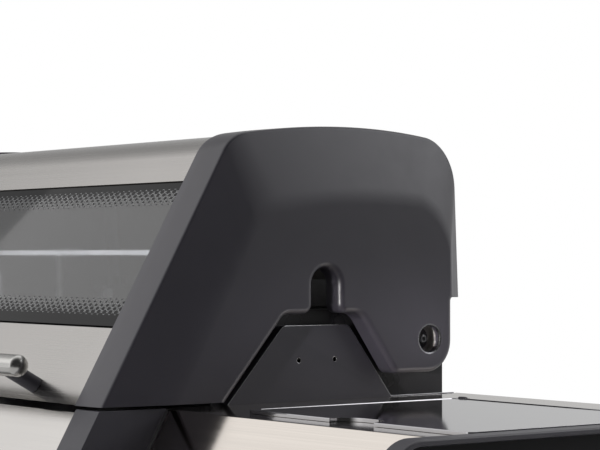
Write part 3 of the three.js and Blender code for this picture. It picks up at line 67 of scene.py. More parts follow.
# Hood ends
BAND_WIDTH = 61
BEVEL_DEPTH = 12
LIP_RADIUS = 8
LIP_FLANGE_DEPTH = 28
SLOT_WIDTH = 40.5
SLOT_MOUTH_RADIUS = 12
SLOT_SHOULDER_FRONT = 41.2
SLOT_SHOULDER_REAR = 33.2
LOBE_RADIUS = 40
LOBE_TOE_RADIUS = 14
CUT_CORNER_RADIUS = 14
CUT_REAR_RADIUS = 22
STEP_RADIUS = 5
STEP_LEVEL_SHARE = 0.36
TUCK = 8
BAND_CURVE_SHARES = (0.5, 0.4)
EDGE_ROUNDING = 3.5
CREASE_START_SHARE = 0.86
CREASE_FLAT_SHARE = 0.12
HOLLOW_REACH_SHARE = 1.12
RECESS_RADIUS = 16.5
RECESS_DEPTH = 21
RECESS_EDGE = 2.8
RECESS_COATED = 8
BOSS_WALL = 4.5
PIN_HOLE_RADIUS = 4.1

# Outlines of a hood end, each point as (share of the hood's depth, share of its rise)
REAR_RIM_SHARES = {
    "top_rear": (0.9, 0.9767),
    "rear_pulls": ((0.936, 0.9682), (0.9847, 0.9059)),
    "rear_top": (0.988, 0.791),
    "rear_foot": (1.0105, 0),
}
INNER_RIM_SHARES = {
    **REAR_RIM_SHARES,
    "foot": (0.0056, 0),
    "slope_top": (0.3137, 0.8888),
    "front_pull": (0.3374, 0.9573),
    "top_front": (0.3913, 0.97),
    "top_pulls": ((0.5586, 1.0093), (0.7308, 1.0163)),
}
OUTER_RIM_SHARES = {
    **REAR_RIM_SHARES,
    "foot": (0.0159, 0),
    "slope_top": (0.3258, 0.905),
    "front_pull": (0.3439, 0.9576),
    "top_front": (0.3852, 0.9676),
    "top_pulls": ((0.554, 1.008), (0.7308, 1.0163)),
}
CREASE_SHARES = {
    "foot": (0.175, 0),
    "slope_top": (0.389, 0.629),
    "front_pull": (0.4074, 0.6865),
    "top_front": (0.4667, 0.7068),
    "top_pulls": ((0.5926, 0.7485), (0.7407, 0.749)),
    "top_rear": (0.8704, 0.7295),
    "rear_pulls": ((0.911, 0.7085), (0.952, 0.624)),
    "rear_top": (0.9567, 0.5485),
    "rear_foot": (0.9641, 0),
}
CUT_SHARES = {
    "left_foot": (0.3172, 0),
    "top": 0.3072,
    "slot_centre": 0.5894,
    "slot_top": 0.4772,
    "right_foot": (0.7885, 0.0735),
    "lobe_rear": 0.9626,
}
PIVOT_SHARES = (0.8917, 0.2025)

# Steps of the round and curved forms
ROUND_STEPS = 64
FILLET_STEPS = 12
CURVE_STEPS = 28
LIP_STEPS = 6
BAND_STEPS = 6
EDGE_STEPS = 6
BEVEL_STEPS = 3
CREASE_STEPS = 8

# Shelf ends
END_BOX = [corner / MM for corner in map(Vector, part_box("shelf_end_right"))]
END_RIM = 6
END_RECESS = 14
END_EDGE = 2.4
END_FRONT_RADIUS = 42
END_REAR_RADIUS = 20
END_FOOT_RADIUS = 24
# Sideways faces of a shelf end nearer the centre plane than this get painted shade
END_SHADE = END_BOX[1].x - END_EDGE * 2

# The bead along the left and rear edges of the side burner's lid, thinner at its front end
BEAD_RADIUS = 1.2
BEAD_THIN_SHARE = 0.65
BEAD_SET_IN = 2.6
BEAD_RISE = 3.9
BEAD_CORNER = 8
BEAD_SIDES = 12
BEAD_END = 16
LID_REAR_GAP = 6.4

# The window, measured up the hood's front slope, with its dark printed border: a solid band along its top and
# bottom edges, then rows of dots
WINDOW_FOOT = 105.4
WINDOW_TOP = 300.4
WINDOW_FACE = 6.3
WINDOW_THICKNESS = 5
BORDER_SOLID = 9
BORDER_FOOT_EXTRA = 5.5
BORDER_DOTS = 22
DOT_PITCH = 12.7
DOT_ROW = 8.8
DOT_SIZE = (3.45, 2.2)
DOT_REACH = (1.58, 0.65)
DOT_SOFTNESS = 0.2

# Smooth shading and rounded edges of the nodes that keep their shape
MERGE_REACH = 0.02
FLAT_ANGLE = 1
SMOOTH_ANGLE = 38
ROUNDED_ANGLE = 40
ROUNDED_SEGMENTS = 2

# Camera and floor
VIEW_TURN = 52.8
CAMERA_PLACE = (2384.4, -1206.1 + SHIFT_Y, 1076.3)
LENS = 123.54
SENSOR = 36
FRAME_SHIFT = 31 / 600
CLIP_END = 100
FLOOR_HALF = 4500
FLOOR_TONES = ((0.86, 0.86, 0.86), (0.84, 0.84, 0.84))

# The sky's shades: a direction, the cosines to it where a shade starts and ends, and the strengths there
DARK_RIGHT = ((1, -0.25, 0.1), 0, 0.75, 0.92, 0.03)
GREY_FRONT = ((-0.8, -0.26, 0.54), 0.55, 0.95, 1, 0.75)
GREY_LEFT = ((-0.8, 0.42, 0.33), 0.75, 0.97, 1, 0.55)
SKY_THROUGH_GLASS = 0.06


def at(share):
    """A point (y, z) of the hood's side, from a share of its depth and one of its rise"""
    return Vector((share[0] * HOOD_DEPTH, HOOD_FOOT + share[1] * HOOD_RISE))


SLOPE_FOOT = at(INNER_RIM_SHARES["foot"])
SLOPE = at(INNER_RIM_SHARES["slope_top"]) - SLOPE_FOOT
LEAN = math.atan2(SLOPE.x, SLOPE.y)
CUT_LEVEL = HOOD_FOOT + CUT_SHARES["top"] * HOOD_RISE
STEP_LEVEL = HOOD_FOOT + STEP_LEVEL_SHARE * HOOD_RISE
PIVOT = at(PIVOT_SHARES)


# Finishes. The scales of their patterns count per metre, and the depths of their bumps are metres.

GRAIN_RANGE = (0.3, 0.7)
STAIN_RANGE = (0.35, 0.7)
MOTTLE_RANGE = (0.35, 0.68)
BROAD_RANGE = (0.4, 0.75)
SMEAR_RANGE = (0.7, 1.3)
SPECK_RANGE = (0.06, 0.16)
# The pointiness over which outer edges turn lighter: partly wear, partly a painted highlight
EDGE_WEAR_AND_HIGHLIGHT_RANGE = (0.5, 0.56)
FACING_RANGE = (0.5, 0.8)

COAT_GRAIN = 1300
# How far a coat's outer edges turn lighter: partly wear, partly a painted highlight
COAT_EDGE_WEAR_AND_HIGHLIGHT = 0.5
COAT_SPECULAR = 0.8
# The painted shade of a hollow: the specular it takes away and its near-black colour
HOLLOW_SHADE_SPECULAR_LOSS = 0.6
HOLLOW_SHADE_COLOUR = (0.006, 0.006, 0.007)
STREAK = (2.5, 900, 900)
HANDLE_STREAK = (3, 1200, 1200)
DULL_SHARE = 0.92
# The hood's inward faces: dark, rough and not metallic
INSIDE_DARK_COLOUR = (0.045, 0.04, 0.036)
INSIDE_DARK_ROUGHNESS = 0.6
HOOD_INSIDE = (0, 60, 1050)
GLASS_COLOUR = (0.75, 0.77, 0.8)
GLASS_IOR = 1.62
GLASS_SPECULAR = 0.5
PRINT_COLOUR = (0.008, 0.008, 0.009)
PRINT_SPECULAR = 0.08


def toned(colour, share):
    """The colour made lighter or darker by a share"""
    return tuple(min(1, c * share) for c in colour)


class Finish:
    """One node material, with the small graph language that the finishes below are written in"""

    def __init__(self, name, colour, roughness, metallic=0.0, **sockets):
        self.material = bpy.data.materials.new(name)
        self.material.use_nodes = True
        self.tree = self.material.node_tree
        self.surface = self.tree.nodes["Principled BSDF"]
        self.set("Base Color", (*colour, 1))
        self.set("Roughness", roughness)
        self.set("Metallic", metallic)
        for socket, value in sockets.items():
            self.set(socket.replace("_", " "), value)
        self.material.diffuse_color = (*colour, 1)

    def set(self, socket, value):
        if isinstance(value, bpy.types.NodeSocket):
            self.tree.links.new(value, self.surface.inputs[socket])
        else:
            self.surface.inputs[socket].default_value = value

    def node(self, kind, inputs=(), **properties):
        made = self.tree.nodes.new(kind)
        for key, value in properties.items():
            setattr(made, key, value)
        for key, value in dict(inputs).items():
            if isinstance(value, bpy.types.NodeSocket):
                self.tree.links.new(value, made.inputs[key])
            else:
                made.inputs[key].default_value = value
        return made

    def coordinates(self):
        """The piece's own coordinates, in metres, and its normals"""
        return self.node("ShaderNodeTexCoord").outputs

    def place(self, scale=(1, 1, 1)):
        """The piece's own coordinates, stretched along each axis"""
        return self.node("ShaderNodeMapping", {
            "Vector": self.coordinates()["Object"], "Scale": scale,
        }).outputs["Vector"]

    def axes(self, vector):
        return self.node("ShaderNodeSeparateXYZ", {"Vector": vector}).outputs

    def noise(self, place, scale, detail=2, roughness=0.5):
        return self.node("ShaderNodeTexNoise", {
            "Vector": place, "Scale": scale, "Detail": detail, "Roughness": roughness,
        }).outputs["Fac"]

    def cells(self, place, scale):
        return self.node("ShaderNodeTexVoronoi", {"Vector": place, "Scale": scale}).outputs

    def spread(self, value, low, high, out_low=0, out_high=1):
        return self.node("ShaderNodeMapRange", {
            "Value": value, "From Min": low, "From Max": high, "To Min": out_low, "To Max": out_high,
        }).outputs["Result"]

    def sums(self, operation, *values):
        return self.node("ShaderNodeMath", dict(enumerate(values)), operation=operation).outputs[0]

    def vectors(self, operation, first, second):
        outputs = self.node("ShaderNodeVectorMath", {0: first, 1: second}, operation=operation).outputs
        return outputs["Value" if operation == "DOT_PRODUCT" else "Vector"]

    def blend(self, share, first, second):
        return self.node("ShaderNodeMix", {
            0: share,
            6: (*first, 1) if isinstance(first, tuple) else first,
            7: (*second, 1) if isinstance(second, tuple) else second,
        }, data_type="RGBA").outputs[2]

    def bump(self, height, strength, depth):
        return self.node("ShaderNodeBump", {
            "Height": height, "Strength": strength, "Distance": depth,
        }).outputs["Normal"]

    def edges(self):
        """A share that grows on outer edges: partly wear, partly a painted highlight"""
        return self.spread(self.node("ShaderNodeNewGeometry").outputs["Pointiness"], *EDGE_WEAR_AND_HIGHLIGHT_RANGE)

    def stained(self, place, colour, share, scale, detail):
        """The colour, toned by a share in soft patches"""
        patches = self.spread(self.noise(place, scale, detail), *STAIN_RANGE)
        return self.blend(patches, colour, toned(colour, share))


def powder_coat(name, colour, roughness=0.36, hollow=None):
    """Fine-grained coat. With a hollow distance, faces within it of the centre plane are painted in deep
    shade: near black and with less specular.
    """
    finish = Finish(name, colour, roughness, Specular_IOR_Level=COAT_SPECULAR)
    place = finish.place()
    mottle = finish.spread(finish.noise(place, scale=9, detail=4), *MOTTLE_RANGE)
    # Outer edges lighter: partly wear, partly a painted highlight
    edge_wear_and_highlight = finish.sums("MULTIPLY", finish.edges(), COAT_EDGE_WEAR_AND_HIGHLIGHT)
    coat = finish.blend(edge_wear_and_highlight, finish.blend(mottle, colour, toned(colour, 1.1)), toned(colour, 1.9))
    # Painted shade: sideways faces near the centre plane turn near black and lose specular
    if hollow:
        sideways = finish.sums("ABSOLUTE", finish.axes(place)["X"])
        facing = finish.sums("ABSOLUTE", finish.axes(finish.coordinates()["Normal"])["X"])
        within = finish.sums("LESS_THAN", sideways, hollow * MM)
        deep = finish.sums("MULTIPLY", within, finish.spread(facing, *FACING_RANGE))
        coat = finish.blend(deep, coat, HOLLOW_SHADE_COLOUR)
        loss = finish.sums("MULTIPLY", deep, HOLLOW_SHADE_SPECULAR_LOSS)
        finish.set("Specular IOR Level", finish.sums("SUBTRACT", COAT_SPECULAR, loss))
    dust = finish.noise(place, scale=60, detail=3)
    finish.set("Base Color", coat)
    finish.set("Roughness", finish.spread(dust, *GRAIN_RANGE, roughness - 0.01, roughness + 0.02))
    finish.set("Normal", finish.bump(finish.noise(place, COAT_GRAIN), strength=0.16, depth=0.0002))
    return finish.material


def brushed_steel(name, colour, roughness, streak=STREAK, depth=0.00004, dark_towards=None):
    """Steel brushed along its width. Given a place, the faces that look towards it are dark, rough and not
    metallic.
    """
    finish = Finish(name, colour, roughness, metallic=1)
    dull = toned(colour, DULL_SHARE)
    lines = finish.noise(finish.place(streak), scale=1, detail=3, roughness=0.6)
    broad = finish.noise(finish.place(tuple(s / 8 for s in streak)), scale=1)
    smear = finish.noise(finish.place(), scale=3.2, detail=3)
    shade = finish.blend(finish.spread(lines, *GRAIN_RANGE), dull, colour)
    clean = finish.blend(finish.spread(broad, *BROAD_RANGE, 0, 0.5), shade, dull)
    marks = finish.sums("ADD", lines, smear)
    polish = finish.spread(marks, *SMEAR_RANGE, roughness * 0.8, roughness * 1.25)
    # Faces that look towards the given place inside the hood are made dark, rough and not metallic
    if dark_towards:
        coordinates = finish.coordinates()
        toward = finish.vectors("SUBTRACT", tuple(c * MM for c in dark_towards), coordinates["Object"])
        facing = finish.vectors("DOT_PRODUCT", toward, coordinates["Normal"])
        inner = finish.sums("GREATER_THAN", facing, 0)
        clean = finish.blend(inner, clean, INSIDE_DARK_COLOUR)
        polish = finish.sums("MAXIMUM", polish, finish.sums("MULTIPLY", inner, INSIDE_DARK_ROUGHNESS))
        finish.set("Metallic", finish.sums("SUBTRACT", 1, inner))
    finish.set("Base Color", clean)
    finish.set("Roughness", polish)
    finish.set("Normal", finish.bump(lines, strength=0.25, depth=depth))
    return finish.material


def enamel(name, colour, roughness=0.22):
    finish = Finish(name, colour, roughness, Coat_Weight=0.4, Coat_Roughness=0.12)
    place = finish.place()
    specks = finish.spread(finish.cells(place, scale=420)["Distance"], *SPECK_RANGE)
    smear = finish.noise(place, scale=22, detail=3)
    finish.set("Base Color", finish.blend(specks, toned(colour, 3), colour))
    finish.set("Roughness", finish.spread(smear, *GRAIN_RANGE, roughness, roughness + 0.14))
    finish.set("Normal", finish.bump(finish.noise(place, scale=130), strength=0.12, depth=0.0002))
    return finish.material


def cast_iron(name, colour):
    finish = Finish(name, colour, roughness=0.62, metallic=0.25)
    place = finish.place()
    pits = finish.noise(place, scale=520, detail=4, roughness=0.65)
    finish.set("Base Color", finish.stained(place, colour, share=1.7, scale=24, detail=4))
    finish.set("Roughness", finish.spread(pits, *GRAIN_RANGE, 0.5, 0.75))
    finish.set("Normal", finish.bump(pits, strength=0.5, depth=0.0005))
    return finish.material


def bright_metal(name, colour, roughness=0.14):
    finish = Finish(name, colour, roughness, metallic=1)
    place = finish.place()
    marks = finish.noise(place, scale=700, detail=3, roughness=0.6)
    finish.set("Base Color", finish.stained(place, colour, share=0.86, scale=40, detail=3))
    finish.set("Roughness", finish.spread(marks, *GRAIN_RANGE, roughness * 0.7, roughness * 1.5))
    finish.set("Normal", finish.bump(marks, strength=0.1, depth=0.00005))
    return finish.material


def galvanised(name, colour, roughness=0.38, scale=90):
    finish = Finish(name, colour, roughness, metallic=0.9)
    place = finish.place()
    crystals = finish.node("ShaderNodeRGBToBW", {"Color": finish.cells(place, scale)["Color"]})
    tone = finish.spread(crystals.outputs["Val"], 0, 1)
    finish.set("Base Color", finish.blend(tone, toned(colour, 0.82), colour))
    finish.set("Roughness", finish.spread(tone, 0, 1, roughness - 0.08, roughness + 0.1))
    finish.set("Normal", finish.bump(finish.noise(place, scale=300, detail=3), strength=0.15, depth=0.0001))
    return finish.material


def moulded(name, colour, roughness, grain=900):
    finish = Finish(name, colour, roughness)
    place = finish.place()
    skin = finish.noise(place, grain, detail=3, roughness=0.6)
    finish.set("Base Color", finish.stained(place, colour, share=1.5, scale=14, detail=4))
    finish.set("Roughness", finish.spread(skin, *GRAIN_RANGE, roughness - 0.08, roughness + 0.1))
    finish.set("Normal", finish.bump(skin, strength=0.25, depth=0.0002))
    return finish.material


def window_glass(name):
    """Clear glass with the printed border on its outer face"""
    finish = Finish(name, GLASS_COLOUR, roughness=0.02, Transmission_Weight=1, IOR=GLASS_IOR)
    origin = Vector((0, (SLOPE_FOOT.x + SHIFT_Y) * MM, SLOPE_FOOT.y * MM))
    local = finish.vectors("SUBTRACT", finish.coordinates()["Object"], origin)
    upright = finish.node("ShaderNodeMapping", {"Vector": local, "Rotation": (LEAN, 0, 0)}).outputs["Vector"]
    axes = finish.axes(upright)
    outer_face = finish.sums("LESS_THAN", axes["Y"], (WINDOW_FACE + WINDOW_THICKNESS / 2) * MM)
    low = finish.sums("SUBTRACT", axes["Z"], (WINDOW_FOOT + BORDER_FOOT_EXTRA) * MM)
    high = finish.sums("SUBTRACT", WINDOW_TOP * MM, axes["Z"])
    edge = finish.sums("MINIMUM", low, high)

    def lattice(shift):
        """The distance to the nearest dot of a lattice that is shifted by a share of its pitch"""
        squares = []
        for value, pitch, size in ((axes["X"], DOT_PITCH, DOT_SIZE[0]), (edge, DOT_ROW, DOT_SIZE[1])):
            steps = finish.sums("ADD", finish.sums("DIVIDE", value, pitch * MM), shift)
            offset = finish.sums("SUBTRACT", finish.sums("FRACT", steps), 0.5)
            reach = finish.sums("MULTIPLY", offset, pitch / size)
            squares.append(finish.sums("MULTIPLY", reach, reach))
        return finish.sums("SQRT", finish.sums("ADD", *squares))

    distance = finish.sums("MINIMUM", lattice(0), lattice(0.5))
    dots_end = (BORDER_SOLID + BORDER_DOTS) * MM
    reach = finish.spread(edge, BORDER_SOLID * MM, dots_end, *DOT_REACH)
    dot = finish.spread(finish.sums("SUBTRACT", distance, reach), -DOT_SOFTNESS, DOT_SOFTNESS, 1, 0)
    dots = finish.sums("MULTIPLY", dot, finish.sums("LESS_THAN", edge, dots_end))
    solid = finish.sums("LESS_THAN", edge, BORDER_SOLID * MM)
    printed = finish.sums("MULTIPLY", outer_face, finish.sums("MAXIMUM", solid, dots))
    smear = finish.noise(finish.place(), scale=7, detail=3)
    finish.set("Base Color", finish.blend(printed, GLASS_COLOUR, PRINT_COLOUR))
    finish.set("Transmission Weight", finish.sums("SUBTRACT", 1, printed))
    finish.set("Specular IOR Level", finish.spread(printed, 0, 1, GLASS_SPECULAR, PRINT_SPECULAR))
    finish.set("Roughness", finish.spread(smear, *GRAIN_RANGE, 0.015, 0.05))
    return finish.material


# The finishes of the frame's material slots, and of some pieces that have one of their own
finishes = {
    "hood_ends": powder_coat("coated_casting", (0.0425, 0.04, 0.051)),
    "dark_casting": powder_coat("coated_plate", (0.0375, 0.036, 0.0465), roughness=0.45),
    "plate_rim": bright_metal("worn_rim", (0.55, 0.55, 0.56), roughness=0.3),
    # The frame's coat has painted shade on the sideways faces in its hollow
    "end_frame": powder_coat("coated_frame", (0.039, 0.037, 0.047), roughness=0.42, hollow=END_SHADE),
    "brushed_sheet": brushed_steel("brushed_steel", (0.64, 0.62, 0.6), roughness=0.2),
    # The hood's steel is the brushed steel made darker: painted shade for the duller reflections along the
    # hood
    "hood_sheet": brushed_steel("hood_steel", (0.465, 0.45, 0.435), roughness=0.24, dark_towards=HOOD_INSIDE),
    "shelf_sheet": brushed_steel("shelf_steel", (0.72, 0.67, 0.62), roughness=0.11, depth=0.000015),
    "lid_steel": brushed_steel("bright_steel", (0.6, 0.595, 0.61), roughness=0.06, depth=0.00001),
    "machined_rim": bright_metal("machined_rim", (0.26, 0.26, 0.27), roughness=0.26),
    "machined": moulded("machined_wall", (0.3, 0.29, 0.285), roughness=0.45, grain=500),
    "handle_steel": brushed_steel("handle_steel", (0.66, 0.65, 0.63), roughness=0.22, streak=HANDLE_STREAK),
    "window": window_glass("window_glass"),
    "gauge": bright_metal("gauge_chrome", (0.8, 0.8, 0.8)),
    "needle": moulded("needle_black", (0.02, 0.02, 0.02), roughness=0.5),
    "enamel": enamel("dark_enamel", (0.03, 0.029, 0.032)),
    "pin": bright_metal("plated_pin", (0.34, 0.34, 0.35), roughness=0.2),
    "brass": bright_metal("brass", (0.6, 0.46, 0.2), roughness=0.3),
    "iron": cast_iron("cast_iron", (0.03, 0.03, 0.032)),
    "rack": bright_metal("rack_chrome", (0.9, 0.9, 0.92), roughness=0.42),
    "tray": galvanised("tray_zinc", (0.5, 0.5, 0.51)),
    "knob": moulded("knob_plastic", (0.02, 0.02, 0.022), roughness=0.4),
    "castor_steel": galvanised("castor_zinc", (0.5, 0.5, 0.52), roughness=0.34, scale=260),
    "tyre": moulded("tyre_rubber", (0.05, 0.05, 0.052), roughness=0.75, grain=600),
}


# Forms

def as_object(name, mesh):
    made = bpy.data.objects.new(name, mesh)
    bpy.context.scene.collection.objects.link(made)
    return made


def loft(rings):
    """A closed form through rings of equal point counts"""
    count = len(rings[0])
    vertices = [point for ring in rings for point in ring]
    last = len(vertices) - count
    faces = [tuple(range(count)), tuple(range(last, len(vertices)))]
    for first in range(0, last, count):
        for i in range(count):
            a = first + i
            b = first + (i + 1) % count
            faces.append((a, b, b + count, a + count))
    mesh = bpy.data.meshes.new("loft")
    mesh.from_pydata(vertices, [], faces)
    form = bmesh.new()
    form.from_mesh(mesh)
    bmesh.ops.remove_doubles(form, verts=form.verts, dist=WELD)
    bmesh.ops.recalc_face_normals(form, faces=form.faces)
    form.to_mesh(mesh)
    form.free()
    return mesh


def across(x, line):
    """Places an outline of the Y-Z plane at x"""
    return [(x, p[0], p[1]) for p in line]


def filleted(points, closed=True):
    """Rounds the corners of a polyline. Each point is (x, y, radius) or a sharp (x, y)."""
    line = []
    count = len(points)
    for i, point in enumerate(points):
        corner = Vector(point[:2])
        radius = point[2] if len(point) > 2 else 0
        if not radius or (not closed and i in (0, count - 1)):
            line.append(corner)
            continue
        back = (Vector(points[(i - 1) % count][:2]) - corner).normalized()
        on = (Vector(points[(i + 1) % count][:2]) - corner).normalized()
        half = math.acos(max(-1, min(1, back.dot(on)))) / 2
        centre = corner + (back + on).normalized() * radius / math.sin(half)
        start = corner + back * radius / math.tan(half) - centre
        end = corner + on * radius / math.tan(half) - centre
        turn = math.atan2(start.x * end.y - start.y * end.x, start.dot(end))
        for k in range(FILLET_STEPS + 1):
            line.append(centre + Matrix.Rotation(turn * k / FILLET_STEPS, 2) @ start)
    return [p for i, p in enumerate(line) if i == 0 or (p - line[i - 1]).length > WELD]


def inset(line, distance):
    """Moves an open polyline sideways, to the right of its direction."""
    moved = []
    for i, point in enumerate(line):
        before = (point - line[i - 1]).normalized() if i else (line[1] - point).normalized()
        after = (line[i + 1] - point).normalized() if i < len(line) - 1 else before
        side = (Vector((before.y, -before.x)) + Vector((after.y, -after.x))).normalized()
        moved.append(point + side * distance / side.dot(Vector((after.y, -after.x))))
    return moved


def bezier(points, steps):
    """Points on a Bezier curve after its first"""
    line = []
    for k in range(1, steps + 1):
        level = [p.copy() for p in points]
        while len(level) > 1:
            level = [a.lerp(b, k / steps) for a, b in zip(level, level[1:])]
        line.append(level[0])
    return line


def quarter_turn():
    """The angles of a rounded edge's steps"""
    return [k * math.pi / 2 / LIP_STEPS for k in range(LIP_STEPS + 1)]


def revolved(profile):
    """A form turned about the hinge's axis; each profile point is (radius, x)"""
    rings = []
    for radius, x in profile:
        turns = [2 * math.pi * k / ROUND_STEPS for k in range(ROUND_STEPS)]
        rings.append([(x, PIVOT.x + radius * math.cos(t), PIVOT.y + radius * math.sin(t)) for t in turns])
    return loft(rings)


def carved(base, tools, operation="DIFFERENCE"):
    """The base mesh after a boolean operation with each tool"""
    body = as_object("body", base)
    helpers = []
    for tool in tools:
        helper = as_object("tool", tool)
        helpers.append(helper)
        step = body.modifiers.new("carve", "BOOLEAN")
        step.operation = operation
        step.solver = "MANIFOLD"
        step.object = helper
    bpy.context.view_layer.update()
    result = bpy.data.meshes.new_from_object(body.evaluated_get(bpy.context.evaluated_depsgraph_get()))
    for done in (body, *helpers):
        bpy.data.objects.remove(done)
    return result


def mirrored(mesh):
    """The same mesh on the other side of the centre plane"""
    other = mesh.copy()
    other.transform(Matrix.Scale(-1, 4, (1, 0, 0)))
    other.flip_normals()
    return other


def finished(name, mesh, body, slot, sharp=32, replaced=(), material=None, extra=()):
    """Puts a mesh drawn in millimetres into the scene, shaded, coloured and riding on its body.

    Extra pairs of a material and a test give the faces whose centre passes the test their own finish.
    """
    centres = [polygon.center.copy() for polygon in mesh.polygons]
    mesh.transform(Matrix.Translation((0, SHIFT_Y * MM, 0)) @ Matrix.Scale(MM, 4))
    mesh.polygons.foreach_set("use_smooth", [True] * len(mesh.polygons))
    mesh.set_sharp_from_angle(angle=math.radians(sharp))
    made = as_object(name, mesh)
    mesh.materials.clear()
    mesh.materials.append(material or finishes[slot])
    for index, (other, belongs) in enumerate(extra, 1):
        mesh.materials.append(other)
        for polygon, centre in zip(mesh.polygons, centres):
            if belongs(centre):
                polygon.material_index = index
    even = made.modifiers.new("even_normals", "WEIGHTED_NORMAL")
    even.keep_sharp = True
    if replaced:
        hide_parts(*replaced)
    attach(made, body)


def paired(mesh, stem, ending, **options):
    """Puts a right-hand mesh and its mirror image in the place of a pair of nodes"""
    for hand, form in (("right", mesh), ("left", mirrored(mesh))):
        node = f"{stem}_{hand}"
        finished(f"{node}_{ending}", form, bodies[node], slots[node], replaced=(node,), **options)


# Hood ends

def hood_outline(shares):
    """One rim of a hood end, from its front foot over the top to its rear foot"""
    line = [at(shares["foot"]), at(shares["slope_top"])]
    line += bezier([line[-1], at(shares["front_pull"]), at(shares["top_front"])], CURVE_STEPS // 2)
    line += bezier([line[-1], *map(at, shares["top_pulls"]), at(shares["top_rear"])], CURVE_STEPS)
    line += bezier([line[-1], *map(at, shares["rear_pulls"]), at(shares["rear_top"])], CURVE_STEPS)
    line.append(at(shares["rear_foot"]))
    return line


def cut_line():
    """The lower edge of a hood end, with the slot for the spit and the lobe of the hinge"""
    left_foot, right_foot = (at(CUT_SHARES[key]) for key in ("left_foot", "right_foot"))
    slot_y = CUT_SHARES["slot_centre"] * HOOD_DEPTH
    slot_top = HOOD_FOOT + CUT_SHARES["slot_top"] * HOOD_RISE
    slot_left = slot_y - SLOT_WIDTH / 2
    slot_right = slot_y + SLOT_WIDTH / 2
    lobe_rear = CUT_SHARES["lobe_rear"] * HOOD_DEPTH
    return filleted([
        (left_foot.x, HOOD_FOOT - BAND_WIDTH),
        (left_foot.x, left_foot.y),
        (slot_left - SLOT_SHOULDER_FRONT, CUT_LEVEL, CUT_CORNER_RADIUS),
        (slot_left, CUT_LEVEL, SLOT_MOUTH_RADIUS),
        (slot_left, slot_top, SLOT_WIDTH / 2),
        (slot_right, slot_top, SLOT_WIDTH / 2),
        (slot_right, CUT_LEVEL, SLOT_MOUTH_RADIUS),
        (slot_right + SLOT_SHOULDER_REAR, CUT_LEVEL, CUT_REAR_RADIUS),
        (right_foot.x, right_foot.y, LOBE_TOE_RADIUS),
        (lobe_rear, right_foot.y, LOBE_RADIUS),
        (lobe_rear, STEP_LEVEL, STEP_RADIUS),
        (HOOD_DEPTH + BAND_WIDTH, STEP_LEVEL),
    ], closed=False)


def below_cut(distance, x):
    """The outline of everything below the lower edge, moved into the hood end by a distance"""
    line = inset(cut_line(), -distance)
    return across(x, [*line, Vector((line[-1].x, line[0].y))])


def hood_end_mesh():
    """The right hood end: lofted through its rims, hollowed, and cut below, with its lip, boss and recess"""
    inner, outer, ridge = (hood_outline(s) for s in (INNER_RIM_SHARES, OUTER_RIM_SHARES, CREASE_SHARES))
    side = HOOD_HALF_WIDTH
    inside = side - BAND_WIDTH
    straight = inside + TUCK + FIT
    edge = side - BEVEL_DEPTH
    profiles = []
    for a, b, c in zip(inner, outer, ridge):
        inner_edge = Vector((straight, a.x, a.y))
        outer_edge = Vector((edge, b.x, b.y))
        crease = Vector((side, c.x, c.y))
        middle = inner_edge.lerp(outer_edge, BAND_CURVE_SHARES[0])
        middle = Vector((middle.x, *a.lerp(b, BAND_CURVE_SHARES[1])))
        before = outer_edge + (middle - outer_edge).normalized() * EDGE_ROUNDING
        after = outer_edge + (crease - outer_edge).normalized() * EDGE_ROUNDING
        flat = crease + Vector((0, *(c - b).normalized())) * (c - b).length * CREASE_FLAT_SHARE
        onto = outer_edge.lerp(crease, CREASE_START_SHARE)
        profile = [Vector((inside, a.x, a.y)), inner_edge]
        profile += bezier([inner_edge, middle, before], BAND_STEPS)
        profile += bezier([before, outer_edge, after], EDGE_STEPS)
        profile += bezier([after, after.lerp(onto, 0.5), onto], BEVEL_STEPS)
        profile += bezier([onto, crease, flat], CREASE_STEPS)
        profiles.append(profile)
    body = loft([[p[k] for p in profiles] for k in range(len(profiles[0]))])

    def hollow_ring(points, x):
        line = inset(points, CASTING_WALL)
        line[0] += (line[0] - line[1]).normalized() * OVERRUN
        line[-1] += (line[-1] - line[-2]).normalized() * OVERRUN
        return across(x, line)

    inner_ridge = [b.lerp(c, HOLLOW_REACH_SHARE) for b, c in zip(outer, ridge)]
    hollow = loft([
        hollow_ring(inner, inside - OVERRUN),
        hollow_ring(inner, straight),
        hollow_ring(outer, edge - CASTING_WALL),
        hollow_ring(inner_ridge, side - CASTING_WALL),
    ])
    flange_inside = side - LIP_FLANGE_DEPTH
    flange = carved(
        loft([below_cut(CASTING_WALL, flange_inside), below_cut(CASTING_WALL, side)]),
        [loft([below_cut(0, flange_inside - OVERRUN), below_cut(0, side + OVERRUN)])])
    flange = carved(flange, [body.copy()], "INTERSECT")
    lip = [below_cut(LIP_RADIUS, side + OVERRUN)]
    for turn in quarter_turn():
        lip.append(below_cut(LIP_RADIUS * (1 - math.sin(turn)), side - LIP_RADIUS * (1 - math.cos(turn))))
    floor_x = side - RECESS_DEPTH
    boss = revolved([
        (RECESS_RADIUS + BOSS_WALL, floor_x - CASTING_WALL),
        (RECESS_RADIUS + BOSS_WALL, side - FIT),
    ])
    well = revolved([
        (RECESS_RADIUS - RECESS_EDGE, floor_x),
        (RECESS_RADIUS, floor_x + RECESS_EDGE),
        (RECESS_RADIUS, side - RECESS_COATED),
        (RECESS_RADIUS, side - RECESS_EDGE),
        (RECESS_RADIUS + RECESS_EDGE / 3, side - RECESS_EDGE / 3),
        (RECESS_RADIUS + RECESS_EDGE, side),
        (RECESS_RADIUS + RECESS_EDGE, side + OVERRUN),
    ])
    pin_hole = revolved([(PIN_HOLE_RADIUS, inside), (PIN_HOLE_RADIUS, side)])
    shell = carved(body, [hollow])
    shell = carved(shell, [flange, boss], "UNION")
    below = loft([below_cut(0, inside - OVERRUN), below_cut(0, side + OVERRUN)])
    return carved(shell, [below, loft(lip), well, pin_hole])


